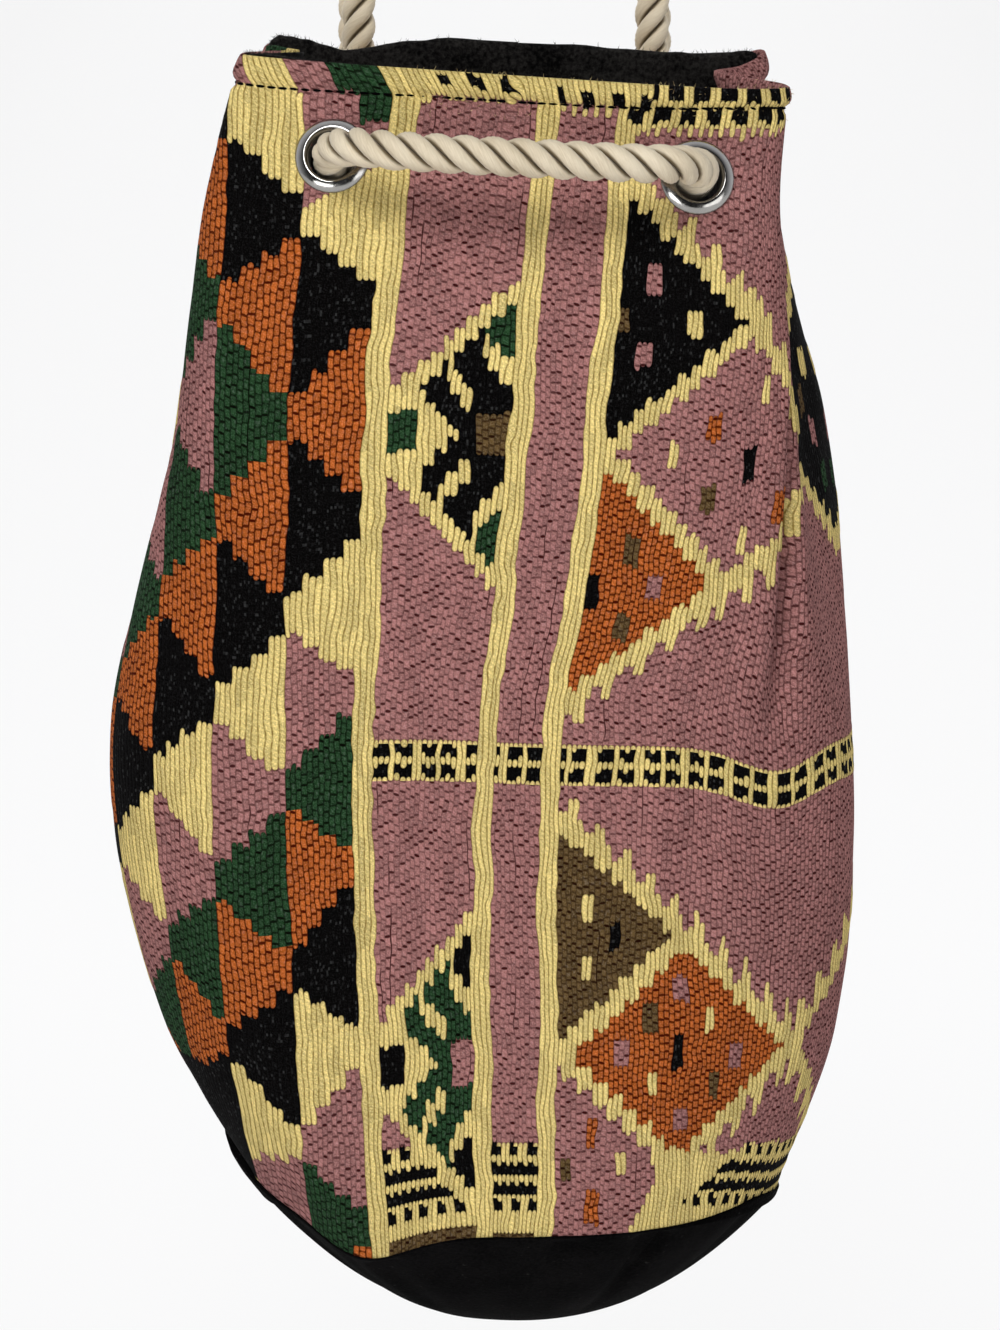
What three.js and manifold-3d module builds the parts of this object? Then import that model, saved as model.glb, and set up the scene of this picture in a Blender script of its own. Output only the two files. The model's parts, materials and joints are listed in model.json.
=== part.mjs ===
// Woven drawstring backpack, hung by its rope straps. Millimetres, +Z up, front towards -Y.
// The bag is built with its base seam at height 0 and its axis on Z. The whole group is then
// moved so that the origin is the hanging point, under the tops of the two rope loops.
import * as THREE from 'three';
import { mergeVertices } from 'three/addons/utils/BufferGeometryUtils.js';
import Module from 'manifold-3d';

// Cloth
const WALL = 2;
const LINING = 1;
const BASE_CLOTH = 2;
const CLEAR = 0.3;

// Heights above the base seam
const BODY_HEIGHT = 377;
const SHOULDER_HEIGHT = 327;
const WAIST_HEIGHT = 251;
const BELLY_HEIGHT = 149;
const HIP_HEIGHT = 63;

// Widths and depths of the filled bag at those heights
const MOUTH_WIDTH = 198;
const MOUTH_DEPTH = 55;
const SHOULDER_WIDTH = 204;
const SHOULDER_DEPTH = 80;
const WAIST_WIDTH = 230;
const WAIST_DEPTH = 108;
const BELLY_WIDTH = 253;
const BELLY_DEPTH = 128;
const HIP_WIDTH = 233;
const HIP_DEPTH = 152;
const BASE_WIDTH = 180;
const BASE_DEPTH = 160;

// Base: a round panel that sags, tilted forward, with one droop in its seam
const BASE_SAG = 48;
const BASE_TILT_DEG = 10;
const SEAM_DROOP = 11;
const SEAM_DROOP_AT = -0.6;
const SEAM_DROOP_SPREAD = 0.26;

// Mouth: the back stands higher, the front hem slopes down to the right
const BACK_RISE = 14;
const HEM_SLOPE = 6.5;
const HEM_HEIGHT = 9;
const HEM_SWELL = 0.9;
const STITCH_GROOVE = 0.4;

// Side tucks, where the mouth is drawn together
const TUCK_RIGHT = 30;
const TUCK_LEFT = 24;
const TUCK_SPREAD = 0.5;

// Eyelets
const EYELET_HOLE = 15.4;
const EYELET_FLANGE = 23.6;
const EYELET_METAL = 0.8;
const EYELET_CROWN = 2;
const EYELET_FLARE = 18.6;
const EYELET_DISH = 1;
const WASHER_DIAMETER = 22;
const EYELET_DROP = 29;
const FRONT_EYELET_SPACING = 114;
const FRONT_EYELET_CENTRE = 3;
const BACK_EYELET_SPACING = 100;
const LOW_EYELET_SPACING = 120;
const LOW_EYELET_HEIGHT = 45;

// Rope
const ROPE_DIAMETER = 12;
const KNOT_DIAMETER = 30;
const KNOT_LENGTH = 26;

// Hanging point, behind the bag's axis and above its base seam
const HANG_BACK = 75;
const HANG_HEIGHT = 494;

// Facets
const COLUMNS = 48;
const ROUND_SIDES = 16;
const ROPE_STEPS = 78;
const ROPE_SIDES = 8;

const wasm = await Module();
wasm.setup();

// Materials

const cloth = (color) => new THREE.MeshStandardMaterial({ color, roughness: 0.95, metalness: 0 });
const nickel = () => new THREE.MeshStandardMaterial({ color: 0xc9c5bd, roughness: 0.22, metalness: 1 });
const MAUVE = 0x96646a;
const BLACK = 0x151313;
const ECRU = 0xc8b9a0;

// Shape of the filled bag

// square: 2 is an ellipse, more is boxier. pinch: how much narrower the back is than the front.
// foldTurn: how far the right tuck has turned from the side towards the front.
const stations = [
  { height: 0, width: BASE_WIDTH, depth: BASE_DEPTH, drift: 5, square: 2,
    pinch: 0, tuckRight: 0, tuckLeft: 0, foldTurn: 0.5 },
  { height: HIP_HEIGHT, width: HIP_WIDTH, depth: HIP_DEPTH, drift: -1.6, square: 2.25,
    pinch: 0, tuckRight: 0, tuckLeft: 0, foldTurn: 0.5 },
  { height: BELLY_HEIGHT, width: BELLY_WIDTH, depth: BELLY_DEPTH, drift: -7.2, square: 2.5,
    pinch: 0, tuckRight: 0.03, tuckLeft: 0, foldTurn: 0.5 },
  { height: WAIST_HEIGHT, width: WAIST_WIDTH, depth: WAIST_DEPTH, drift: 2.3, square: 2.8,
    pinch: 0, tuckRight: 0.7, tuckLeft: 0.15, foldTurn: 0.32 },
  { height: SHOULDER_HEIGHT, width: SHOULDER_WIDTH, depth: SHOULDER_DEPTH, drift: -2.9, square: 3.2,
    pinch: 2, tuckRight: 0.45, tuckLeft: 0.5, foldTurn: 0.12 },
  { height: BODY_HEIGHT, width: MOUTH_WIDTH, depth: MOUTH_DEPTH, drift: 3.7, square: 3.6,
    pinch: 8, tuckRight: 1, tuckLeft: 1, foldTurn: 0 },
];

function slopeAt(i, key) {
  const low = stations[Math.max(i - 1, 0)];
  const high = stations[Math.min(i + 1, stations.length - 1)];
  return (high[key] - low[key]) / (high.height - low.height);
}

// A smooth curve through the stations' values, read at a height.
function along(height, key) {
  const last = stations.length - 2;
  const found = stations.findIndex((station, i) => i > 0 && height <= station.height) - 1;
  const i = found < 0 ? last : found;
  const low = stations[i];
  const high = stations[i + 1];
  const span = high.height - low.height;
  const t = (height - low.height) / span;
  const bend = t * t * (3 - 2 * t);
  return low[key] + (high[key] - low[key]) * bend
    + span * (slopeAt(i, key) * t * (1 - t) ** 2 - slopeAt(i + 1, key) * t * t * (1 - t));
}

const signedPower = (value, power) => Math.sign(value) * Math.abs(value) ** power;

// Where the turn of an angle lies on the section's sides: +1 right and +1 front.
function sideways(angle, height) {
  const power = 2 / along(height, 'square');
  return {
    right: signedPower(Math.sin(angle), power),
    front: signedPower(Math.cos(angle), power),
  };
}

// The bag's horizontal section at a height: angle 0 is the front, a quarter turn is the right.
function section(angle, height) {
  const { right, front } = sideways(angle, height);
  const halfWidth = along(height, 'width') / 2 - along(height, 'pinch') * (1 - front) / 2;
  const isRight = right > 0;
  const tuck = isRight ? TUCK_RIGHT * along(height, 'tuckRight') : TUCK_LEFT * along(height, 'tuckLeft');
  const valley = isRight ? along(height, 'foldTurn') : 0;
  const depthIn = tuck * right * right * Math.exp(-(((front - valley) / TUCK_SPREAD) ** 2));
  return new THREE.Vector2(
    along(height, 'drift') + right * halfWidth - Math.sign(right) * depthIn,
    -front * along(height, 'depth') / 2,
  );
}

// The same section moved inwards, square to its outline.
function insetSection(angle, height, inset) {
  const step = 1e-3;
  const point = section(angle, height);
  const run = section(angle + step, height).sub(section(angle - step, height)).normalize();
  return point.add(new THREE.Vector2(-run.y, run.x).multiplyScalar(inset));
}

function wrapped(angle) {
  return Math.atan2(Math.sin(angle), Math.cos(angle));
}

const baseTilt = Math.tan(THREE.MathUtils.degToRad(BASE_TILT_DEG));

function seamDroop(angle) {
  return SEAM_DROOP * Math.exp(-((wrapped(angle - SEAM_DROOP_AT) / SEAM_DROOP_SPREAD) ** 2));
}

function seamHeight(angle) {
  return -baseTilt * section(angle, 0).y - seamDroop(angle);
}

function hemHeight(angle) {
  const { right, front } = sideways(angle, BODY_HEIGHT);
  return BODY_HEIGHT + BACK_RISE * (1 - front) / 2 - HEM_SLOPE * right * (1 + front) / 2;
}

// A point of the wall: height is measured up the cloth, inset is measured inwards from its outside.
function wallPoint(angle, height, inset) {
  const flat = insetSection(angle, height, inset);
  const share = height / BODY_HEIGHT;
  const low = seamHeight(angle);
  return new THREE.Vector3(flat.x, flat.y, low + (hemHeight(angle) - low) * share);
}

// The outward normal of the wall's outside.
function wallNormal(angle, height) {
  const step = 1e-2;
  const around = wallPoint(angle + step, height, 0).sub(wallPoint(angle - step, height, 0));
  const up = wallPoint(angle, height + step, 0).sub(wallPoint(angle, height - step, 0));
  return around.cross(up).normalize();
}

// A point of the base's dome: reach runs from 0 at its middle to 1 at its rim.
function domePoint(angle, reach, rimInset, lift) {
  const rim = insetSection(angle, 0, rimInset);
  const drift = along(0, 'drift');
  const x = drift + (rim.x - drift) * reach;
  const y = rim.y * reach;
  const spread = reach * (1 - 2 * rimInset / BASE_WIDTH);
  const z = -baseTilt * y - seamDroop(angle) * reach ** 3 - BASE_SAG * (1 - spread * spread);
  return new THREE.Vector3(x, y, z - CLEAR + lift);
}

// Solids, cuts and meshes

function toSolid(geometry) {
  const plain = geometry.clone();
  plain.deleteAttribute('normal');
  plain.deleteAttribute('uv');
  const merged = mergeVertices(plain, 1e-4);
  return new wasm.Manifold(new wasm.Mesh({
    numProp: 3,
    vertProperties: new Float32Array(merged.attributes.position.array),
    triVerts: new Uint32Array(merged.index.array),
  }));
}

function toGeometry(solid) {
  const mesh = solid.getMesh();
  const geometry = new THREE.BufferGeometry();
  geometry.setAttribute('position', new THREE.BufferAttribute(mesh.vertProperties, 3));
  geometry.setIndex(new THREE.BufferAttribute(mesh.triVerts, 1));
  geometry.computeVertexNormals();
  return geometry;
}

const bag = new THREE.Group();

function addMesh(name, geometry, material) {
  const mesh = new THREE.Mesh(geometry, material);
  mesh.name = name;
  bag.add(mesh);
  return mesh;
}

// A skin lofted through rows of points round the bag. Where a row's first value falls, the diagonals
// turn too, so that nested skins keep the same facets and an even gap.
function loft(rows, pointAt, isLoop) {
  const turns = Array.from({ length: COLUMNS }, (_, i) => 2 * Math.PI * i / COLUMNS);
  const points = rows.flatMap((row) => turns.map((angle) => pointAt(angle, ...row)));
  const index = [];
  const addFace = (...corners) => {
    const [p, q, r] = corners.map((corner) => points[corner]);
    const isSliver = p.distanceTo(q) * q.distanceTo(r) * r.distanceTo(p) < 1e-9;
    if (!isSliver) index.push(...corners);
  };
  const lastRow = isLoop ? rows.length : rows.length - 1;
  for (let i = 0; i < lastRow; i += 1) {
    const next = (i + 1) % rows.length;
    const isFalling = rows[next][0] < rows[i][0];
    for (let j = 0; j < COLUMNS; j += 1) {
      const right = (j + 1) % COLUMNS;
      const a = i * COLUMNS + j;
      const b = i * COLUMNS + right;
      const c = next * COLUMNS + right;
      const d = next * COLUMNS + j;
      if (isFalling) {
        addFace(a, b, c);
        addFace(a, c, d);
      } else {
        addFace(a, b, d);
        addFace(b, c, d);
      }
    }
  }
  const geometry = new THREE.BufferGeometry().setFromPoints(points);
  geometry.setIndex(index);
  geometry.computeVertexNormals();
  return geometry;
}

// Rows of [height, inset] that close on themselves.
const loftedShell = (rows) => loft(rows, wallPoint, true);

// Rows of [reach, inset of the rim, lift] that start and end at the dome's middle.
const loftedDome = (rows) => loft(rows, domePoint, false);

// Eyelets: a crowned flange and barrel outside, a flat washer inside, with the cloth between.
// The dish is how far the round cloth curves in behind the flange's rim.

const flangeRadius = EYELET_FLANGE / 2;
const holeRadius = EYELET_HOLE / 2;
const barrelRadius = holeRadius + EYELET_METAL;
const flareRadius = EYELET_FLARE / 2;
const washerRadius = WASHER_DIAMETER / 2;
const clothStack = WALL + CLEAR + LINING;
const washerFace = -clothStack - EYELET_DISH;
const washerBack = washerFace - EYELET_METAL;
const flareTop = washerBack - CLEAR;
const cutReach = 12;

const profile = (pairs) => pairs.map(([radius, out]) => new THREE.Vector2(radius, out));

const eyeletProfile = profile([
  [flangeRadius, 0],
  [flangeRadius, 0.3 * EYELET_CROWN],
  [flangeRadius - 0.22 * (flangeRadius - holeRadius), 0.85 * EYELET_CROWN],
  [flangeRadius - 0.55 * (flangeRadius - holeRadius), EYELET_CROWN],
  [holeRadius + 0.12 * (flangeRadius - holeRadius), 0.65 * EYELET_CROWN],
  [holeRadius, 0.1 * EYELET_CROWN],
  [holeRadius, flareTop],
  [barrelRadius, flareTop - EYELET_METAL],
  [flareRadius, flareTop - EYELET_METAL],
  [flareRadius, flareTop],
  [barrelRadius, flareTop],
  [barrelRadius, 0],
  [flangeRadius, 0],
]);

const washerProfile = profile([
  [washerRadius, washerBack],
  [washerRadius, washerFace],
  [barrelRadius + CLEAR, washerFace],
  [barrelRadius + CLEAR, washerBack],
  [washerRadius, washerBack],
]);

// What the cloth gives way to: the barrel's hole and the seats pressed by the flange and washer.
const cutProfile = profile([
  [0, -cutReach],
  [washerRadius + CLEAR, -cutReach],
  [washerRadius + CLEAR, washerFace + CLEAR],
  [barrelRadius + CLEAR, washerFace + CLEAR],
  [barrelRadius + CLEAR, -CLEAR],
  [flangeRadius + CLEAR, -CLEAR],
  [flangeRadius + CLEAR, cutReach],
  [0, cutReach],
]);

// The angle at which the wall's outline passes a sideways place, on the front or on the back.
function angleAt(x, height, onFront) {
  let left = onFront ? -Math.PI / 3 : 4 * Math.PI / 3;
  let right = onFront ? Math.PI / 3 : 2 * Math.PI / 3;
  for (let i = 0; i < 40; i += 1) {
    const middle = (left + right) / 2;
    if (section(middle, height).x < x) left = middle;
    else right = middle;
  }
  return (left + right) / 2;
}

const mouthRow = BODY_HEIGHT - EYELET_DROP;
const eyeletPlaces = [
  ['front_left', FRONT_EYELET_CENTRE - FRONT_EYELET_SPACING / 2, mouthRow, true],
  ['front_right', FRONT_EYELET_CENTRE + FRONT_EYELET_SPACING / 2, mouthRow, true],
  ['back_left', -BACK_EYELET_SPACING / 2, mouthRow, false],
  ['back_right', BACK_EYELET_SPACING / 2, mouthRow, false],
  ['low_left', -LOW_EYELET_SPACING / 2, LOW_EYELET_HEIGHT, false],
  ['low_right', LOW_EYELET_SPACING / 2, LOW_EYELET_HEIGHT, false],
];

const eyelets = eyeletPlaces.map(([name, x, height, onFront]) => {
  const angle = angleAt(x, height, onFront);
  const turn = new THREE.Quaternion().setFromUnitVectors(
    new THREE.Vector3(0, 1, 0), wallNormal(angle, height));
  return { name, turn, place: wallPoint(angle, height, 0) };
});

function seat(item, eyelet) {
  item.quaternion.copy(eyelet.turn);
  item.position.copy(eyelet.place);
}

function eyeletCut(eyelet) {
  const geometry = new THREE.LatheGeometry(cutProfile, ROUND_SIDES);
  geometry.applyQuaternion(eyelet.turn);
  geometry.translate(eyelet.place.x, eyelet.place.y, eyelet.place.z);
  return toSolid(geometry);
}

const cutForEyelets = (geometry) => toGeometry(
  eyelets.reduce((solid, eyelet) => solid.subtract(eyeletCut(eyelet)), toSolid(geometry)));

// Woven wall: outside rows up to the swollen hem, over its edge, and down the inside

const rowsBetween = (low, high, count) => Array.from(
  { length: count }, (_, i) => low + (high - low) * i / (count - 1));

const hemFoot = BODY_HEIGHT - HEM_HEIGHT;
const outsideRows = rowsBetween(0, hemFoot - 2 * STITCH_GROOVE, 15).map((height) => [height, 0]);
const hemRows = [
  [hemFoot, STITCH_GROOVE],
  [hemFoot + HEM_SWELL, -HEM_SWELL],
  [BODY_HEIGHT - HEM_SWELL, -HEM_SWELL],
  [BODY_HEIGHT, 0.3 * WALL],
  [BODY_HEIGHT, 0.8 * WALL],
];
const insideHeights = rowsBetween(BODY_HEIGHT - HEM_SWELL, 0, 11);
const insideRows = insideHeights.map((height) => [height, WALL]);
addMesh('woven_wall', cutForEyelets(loftedShell([...outsideRows, ...hemRows, ...insideRows])), cloth(MAUVE));

// Lining: a tube that stops above its own round bottom

const liningFoot = BASE_CLOTH + LINING + 2 * CLEAR;
const liningHeights = insideHeights.map((height) => Math.max(height, liningFoot));
const liningOutside = WALL + CLEAR;
const liningInside = liningOutside + LINING;
addMesh('lining_tube', cutForEyelets(loftedShell([
  ...liningHeights.toReversed().map((height) => [height, liningOutside]),
  ...liningHeights.map((height) => [height, liningInside]),
])), cloth(BLACK));

// Base panel and the lining's bottom: two nested domes

const domeReaches = [0, 0.35, 0.66, 0.87, 1];
const domeRows = (rimOutside, rimInside, lift, thickness) => [
  ...domeReaches.map((reach) => [reach, rimOutside, lift]),
  ...domeReaches.toReversed().map((reach) => [reach, rimInside, lift + thickness]),
];

addMesh('base_panel', loftedDome([
  ...domeReaches.map((reach) => [reach, 0, 0]),
  [1, WALL, 0],
  ...domeReaches.toReversed().slice(1).map((reach) => [reach, WALL, BASE_CLOTH]),
]), cloth(BLACK));
addMesh('lining_base', loftedDome(
  domeRows(liningOutside, liningOutside, BASE_CLOTH + CLEAR, LINING)), cloth(BLACK));

// Eyelets and washers

for (const eyelet of eyelets) {
  seat(addMesh(`eyelet_${eyelet.name}`,
    new THREE.LatheGeometry(eyeletProfile, ROUND_SIDES), nickel()), eyelet);
  seat(addMesh(`washer_${eyelet.name}`,
    new THREE.LatheGeometry(washerProfile, ROUND_SIDES), nickel()), eyelet);
}

// Rope: from the left knot up the back, over its loop, through the mouth, and the same way down

const ropeRoute = [
  [-57.7, 61.7, 36.6],
  [-62, 73.8, 35.4],
  [-65.6, 83.3, 37.1],
  [-68.4, 90.7, 43.8],
  [-69.6, 94.5, 56],
  [-60, 98.5, 220],
  [-53.6, 100, 472],
  [-52.9, 92.7, 492.7],
  [-51.8, 75, 500],
  [-50.8, 57.3, 492.7],
  [-50.2, 50.5, 474],
  [-50.7, 53.8, 388],
  [-50.8, 50, 369.5],
  [-50.6, 39, 361],
  [-50.2, 22.6, 357.2],
  [-53.5, 0, 351.8],
  [-54.3, -23, 349.3],
  [-53.6, -40.3, 353.2],
  [-47.5, -52, 354],
  [-33, -58.5, 352.6],
  [39, -58, 348.9],
  [53.6, -51.3, 348.8],
  [60.3, -39.3, 347.8],
  [59, -22.5, 344],
  [54.8, 0, 347.2],
  [50, 22.3, 356.8],
  [50.8, 38.8, 360.6],
  [51, 50, 369.5],
  [50.9, 53.8, 388],
  [50.2, 50.5, 474],
  [50.8, 57.3, 492.7],
  [51.8, 75, 500],
  [52.9, 92.7, 492.7],
  [53.6, 100, 472],
  [60, 98.5, 220],
  [69.6, 94, 56.5],
  [68.4, 90.3, 44.2],
  [65.7, 82.8, 37.6],
  [62.2, 73.4, 35.7],
  [57.7, 61.7, 36.1],
];

// A smooth route whose steps follow its points, so that the bends get as many as the long runs.
class RopeCurve extends THREE.CatmullRomCurve3 {
  getPointAt(share, target) {
    return this.getPoint(share, target);
  }

  getTangentAt(share, target) {
    return this.getTangent(share, target);
  }
}

const ropeCurve = new RopeCurve(ropeRoute.map(([x, y, z]) => new THREE.Vector3(x, y, z)));
const ropeSection = new THREE.Shape(Array.from({ length: ROPE_SIDES }, (_, i) => {
  const turn = 2 * Math.PI * i / ROPE_SIDES;
  return new THREE.Vector2(Math.cos(turn), Math.sin(turn)).multiplyScalar(ROPE_DIAMETER / 2);
}));
addMesh('rope', new THREE.ExtrudeGeometry(ropeSection, {
  steps: ROPE_STEPS, extrudePath: ropeCurve, bevelEnabled: false,
}), cloth(ECRU));

// Stopper knots, seated on the low eyelets' flared ends inside the bag

const knotTop = flareTop - EYELET_METAL - CLEAR;
const knotRadius = KNOT_DIAMETER / 2;
const knotProfile = profile([
  [0, knotTop - KNOT_LENGTH],
  [0.42 * knotRadius, knotTop - KNOT_LENGTH],
  [0.5 * knotRadius, knotTop - 0.9 * KNOT_LENGTH],
  [0.86 * knotRadius, knotTop - 0.68 * KNOT_LENGTH],
  [knotRadius, knotTop - 0.42 * KNOT_LENGTH],
  [0.95 * knotRadius, knotTop - 0.2 * KNOT_LENGTH],
  [0.62 * knotRadius, knotTop],
  [0, knotTop],
]);
for (const eyelet of eyelets.filter(({ name }) => name.startsWith('low_'))) {
  const knot = addMesh(`rope_knot_${eyelet.name.slice('low_'.length)}`,
    new THREE.LatheGeometry(knotProfile, ROUND_SIDES), cloth(ECRU));
  seat(knot, eyelet);
}

bag.position.set(0, -HANG_BACK, -HANG_HEIGHT);

export default bag;
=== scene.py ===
"""Woven drawstring backpack, hung by its rope straps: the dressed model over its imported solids.

Shapes are worked out in bag millimetres, with the base seam at height 0, the bag's axis on Z and
the front towards -Y, and are moved into the row frame, in metres, when a mesh is made. Angles run
round the bag from 0 at its front, in radians, and a quarter turn is its right side.
"""
import json
import math

import bmesh
import bpy
import numpy as np
from mathutils import Matrix, Vector
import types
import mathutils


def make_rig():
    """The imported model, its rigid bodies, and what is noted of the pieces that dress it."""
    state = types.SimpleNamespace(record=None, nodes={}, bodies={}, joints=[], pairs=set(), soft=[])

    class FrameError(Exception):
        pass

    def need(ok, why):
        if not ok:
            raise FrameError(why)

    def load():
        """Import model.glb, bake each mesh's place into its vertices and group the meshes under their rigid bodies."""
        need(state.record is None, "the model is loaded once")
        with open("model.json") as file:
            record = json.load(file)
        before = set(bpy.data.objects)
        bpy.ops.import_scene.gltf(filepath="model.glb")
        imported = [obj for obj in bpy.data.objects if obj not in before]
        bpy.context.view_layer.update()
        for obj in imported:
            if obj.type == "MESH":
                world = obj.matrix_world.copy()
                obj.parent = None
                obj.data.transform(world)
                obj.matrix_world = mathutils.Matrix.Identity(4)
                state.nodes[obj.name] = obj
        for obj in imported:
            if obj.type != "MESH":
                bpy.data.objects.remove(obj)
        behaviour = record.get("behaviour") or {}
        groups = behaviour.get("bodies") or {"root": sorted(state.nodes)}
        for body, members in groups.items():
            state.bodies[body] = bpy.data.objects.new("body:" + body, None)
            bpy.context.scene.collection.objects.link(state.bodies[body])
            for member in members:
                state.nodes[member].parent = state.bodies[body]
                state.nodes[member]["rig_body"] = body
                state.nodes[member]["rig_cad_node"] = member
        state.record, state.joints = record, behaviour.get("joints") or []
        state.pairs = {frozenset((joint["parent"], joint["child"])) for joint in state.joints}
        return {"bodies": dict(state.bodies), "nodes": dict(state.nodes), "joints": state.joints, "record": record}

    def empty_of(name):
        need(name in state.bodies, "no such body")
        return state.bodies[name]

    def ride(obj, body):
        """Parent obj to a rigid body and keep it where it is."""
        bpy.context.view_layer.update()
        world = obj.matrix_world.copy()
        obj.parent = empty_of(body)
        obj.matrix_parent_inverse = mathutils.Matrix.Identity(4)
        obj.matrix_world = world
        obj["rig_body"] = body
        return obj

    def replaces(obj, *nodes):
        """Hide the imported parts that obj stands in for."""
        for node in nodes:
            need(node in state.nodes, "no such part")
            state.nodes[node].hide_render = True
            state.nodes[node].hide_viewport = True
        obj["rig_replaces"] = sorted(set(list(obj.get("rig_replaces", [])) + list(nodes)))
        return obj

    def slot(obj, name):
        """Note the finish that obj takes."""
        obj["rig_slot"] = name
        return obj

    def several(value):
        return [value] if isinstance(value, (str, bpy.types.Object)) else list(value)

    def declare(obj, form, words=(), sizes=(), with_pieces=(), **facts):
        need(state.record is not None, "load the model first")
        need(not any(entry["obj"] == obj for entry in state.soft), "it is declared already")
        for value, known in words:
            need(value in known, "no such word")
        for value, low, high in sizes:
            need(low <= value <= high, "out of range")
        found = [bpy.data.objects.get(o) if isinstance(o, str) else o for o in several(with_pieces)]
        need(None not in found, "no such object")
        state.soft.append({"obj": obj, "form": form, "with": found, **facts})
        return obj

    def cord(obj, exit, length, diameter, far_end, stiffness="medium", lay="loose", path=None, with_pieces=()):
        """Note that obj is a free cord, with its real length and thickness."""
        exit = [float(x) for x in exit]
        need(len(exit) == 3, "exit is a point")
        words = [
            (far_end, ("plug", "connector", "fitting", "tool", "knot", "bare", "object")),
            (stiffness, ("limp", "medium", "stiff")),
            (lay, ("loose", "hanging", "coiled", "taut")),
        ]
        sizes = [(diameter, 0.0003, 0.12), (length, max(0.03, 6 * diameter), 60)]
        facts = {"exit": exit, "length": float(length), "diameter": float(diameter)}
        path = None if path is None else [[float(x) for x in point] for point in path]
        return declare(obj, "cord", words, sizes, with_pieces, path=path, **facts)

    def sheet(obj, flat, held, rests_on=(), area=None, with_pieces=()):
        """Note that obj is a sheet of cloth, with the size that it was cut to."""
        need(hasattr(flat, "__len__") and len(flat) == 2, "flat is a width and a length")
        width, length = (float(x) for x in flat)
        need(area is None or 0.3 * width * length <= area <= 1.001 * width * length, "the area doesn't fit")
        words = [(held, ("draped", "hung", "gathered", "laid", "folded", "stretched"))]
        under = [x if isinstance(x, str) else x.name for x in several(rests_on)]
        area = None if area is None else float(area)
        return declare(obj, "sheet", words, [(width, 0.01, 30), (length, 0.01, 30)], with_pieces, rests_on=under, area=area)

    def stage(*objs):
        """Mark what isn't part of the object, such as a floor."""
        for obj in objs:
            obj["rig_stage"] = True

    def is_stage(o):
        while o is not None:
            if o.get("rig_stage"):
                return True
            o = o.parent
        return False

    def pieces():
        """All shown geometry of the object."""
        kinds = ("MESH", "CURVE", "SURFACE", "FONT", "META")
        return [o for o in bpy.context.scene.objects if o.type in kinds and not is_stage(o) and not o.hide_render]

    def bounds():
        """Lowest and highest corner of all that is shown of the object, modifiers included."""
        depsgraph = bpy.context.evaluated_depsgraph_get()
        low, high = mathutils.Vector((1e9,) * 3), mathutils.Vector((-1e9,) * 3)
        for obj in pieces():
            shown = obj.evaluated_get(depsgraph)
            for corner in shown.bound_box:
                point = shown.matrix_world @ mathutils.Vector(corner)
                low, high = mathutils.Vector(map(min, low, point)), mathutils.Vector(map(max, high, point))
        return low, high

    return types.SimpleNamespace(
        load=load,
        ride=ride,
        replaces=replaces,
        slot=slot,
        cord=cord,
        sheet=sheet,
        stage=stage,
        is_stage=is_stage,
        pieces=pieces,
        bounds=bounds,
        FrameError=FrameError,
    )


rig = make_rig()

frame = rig.load()
cad_box = [list(corner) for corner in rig.bounds()]

MM = 0.001
HANGING_POINT = np.array([0.0, 75.0, 494.0])
WELD = 1e-6

# Cloth thicknesses
WALL = 2.0
LINING = 1.0
LINING_INSET = 2.4
CLEAR = 0.3

# The filled bag: widths, depths and folds at its stations, from the base seam up to the hem
BODY_HEIGHT = 377.0
STATION_HEIGHT = np.array([0, 63, 149, 251, 327, BODY_HEIGHT])
STATION = {
    "width": (180, 233, 253, 230, 204, 198),
    "depth": (160, 152, 128, 108, 80, 55),
    "drift": (5, -1.6, -7.2, 2.3, -2.9, 3.7),
    "square": (2, 2.25, 2.5, 2.8, 3.2, 3.6),
    "pinch": (0, 0, 0, 0, 2, 8),
    "tuck_right": (0, 0, 0.03, 0.7, 0.45, 1),
    "tuck_left": (0, 0, 0, 0.15, 0.5, 1),
    "fold_turn": (0.5, 0.5, 0.5, 0.32, 0.12, 0),
}
TUCK_RIGHT = 30.0
TUCK_LEFT = 24.0
TUCK_SPREAD = 0.5
BASE_SAG = 48.0
BASE_FULLNESS = 2.25
BASE_TILT = math.tan(math.radians(10))
SEAM_DROOP = 11.0
SEAM_DROOP_AT = -0.6
SEAM_DROOP_SPREAD = 0.26
BACK_RISE = 14.0
HEM_SLOPE = 6.5

# The hem: turned narrower towards the right, with its yarns leaning, and stitched in a groove.
# The turned edges are rows of height up or down the cloth, and inset.
HEM_HEIGHT = 9.0
HEM_FOOT = BODY_HEIGHT - HEM_HEIGHT
HEM_SWELL = 1.1
HEM_ROUND = 0.8
HEM_RISE = 2.8
HEM_RISE_AT = 0.75
HEM_RISE_SPREAD = 0.6
HEM_LEAN = 0.62
LEAN_YARNS, LEAN_SHARE = (12, 44), (1, 0.1)
TURNED_SEAM = [(2.0, 2.2), (0.0, 1.0)]
TURNED_HEM = [(0.0, 0.5), (0.2, 1.3), (2.0, 1.9), (9.0, 2.1)]
STITCH_GROOVE = 1.2
GROOVE_SPREAD = 1.5
GROOVE_CLEAR = 2.5
STITCH_SPACING = 3.7
STITCH_HALF_SIZE = (1.7, 0.42, 0.45)
STITCH_LINE = STITCH_GROOVE - 0.2
STITCH_SEAT = STITCH_GROOVE - 0.4

# The crease down the right side, where the slack cloth falls in behind the front
CREASE_HEIGHT = (158, 172, 185, 210, 235, 265, 295, 325)
CREASE_TURN = (0.77, 0.8, 0.83, 0.88, 0.92, 0.98, 1.15, 1.3)
CREASE_DEPTH = (0, 4, 7, 9.5, 10, 9.5, 6, 0)
CREASE_SPREAD = 0.085
CREASE_ROLL = 0.2

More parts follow.
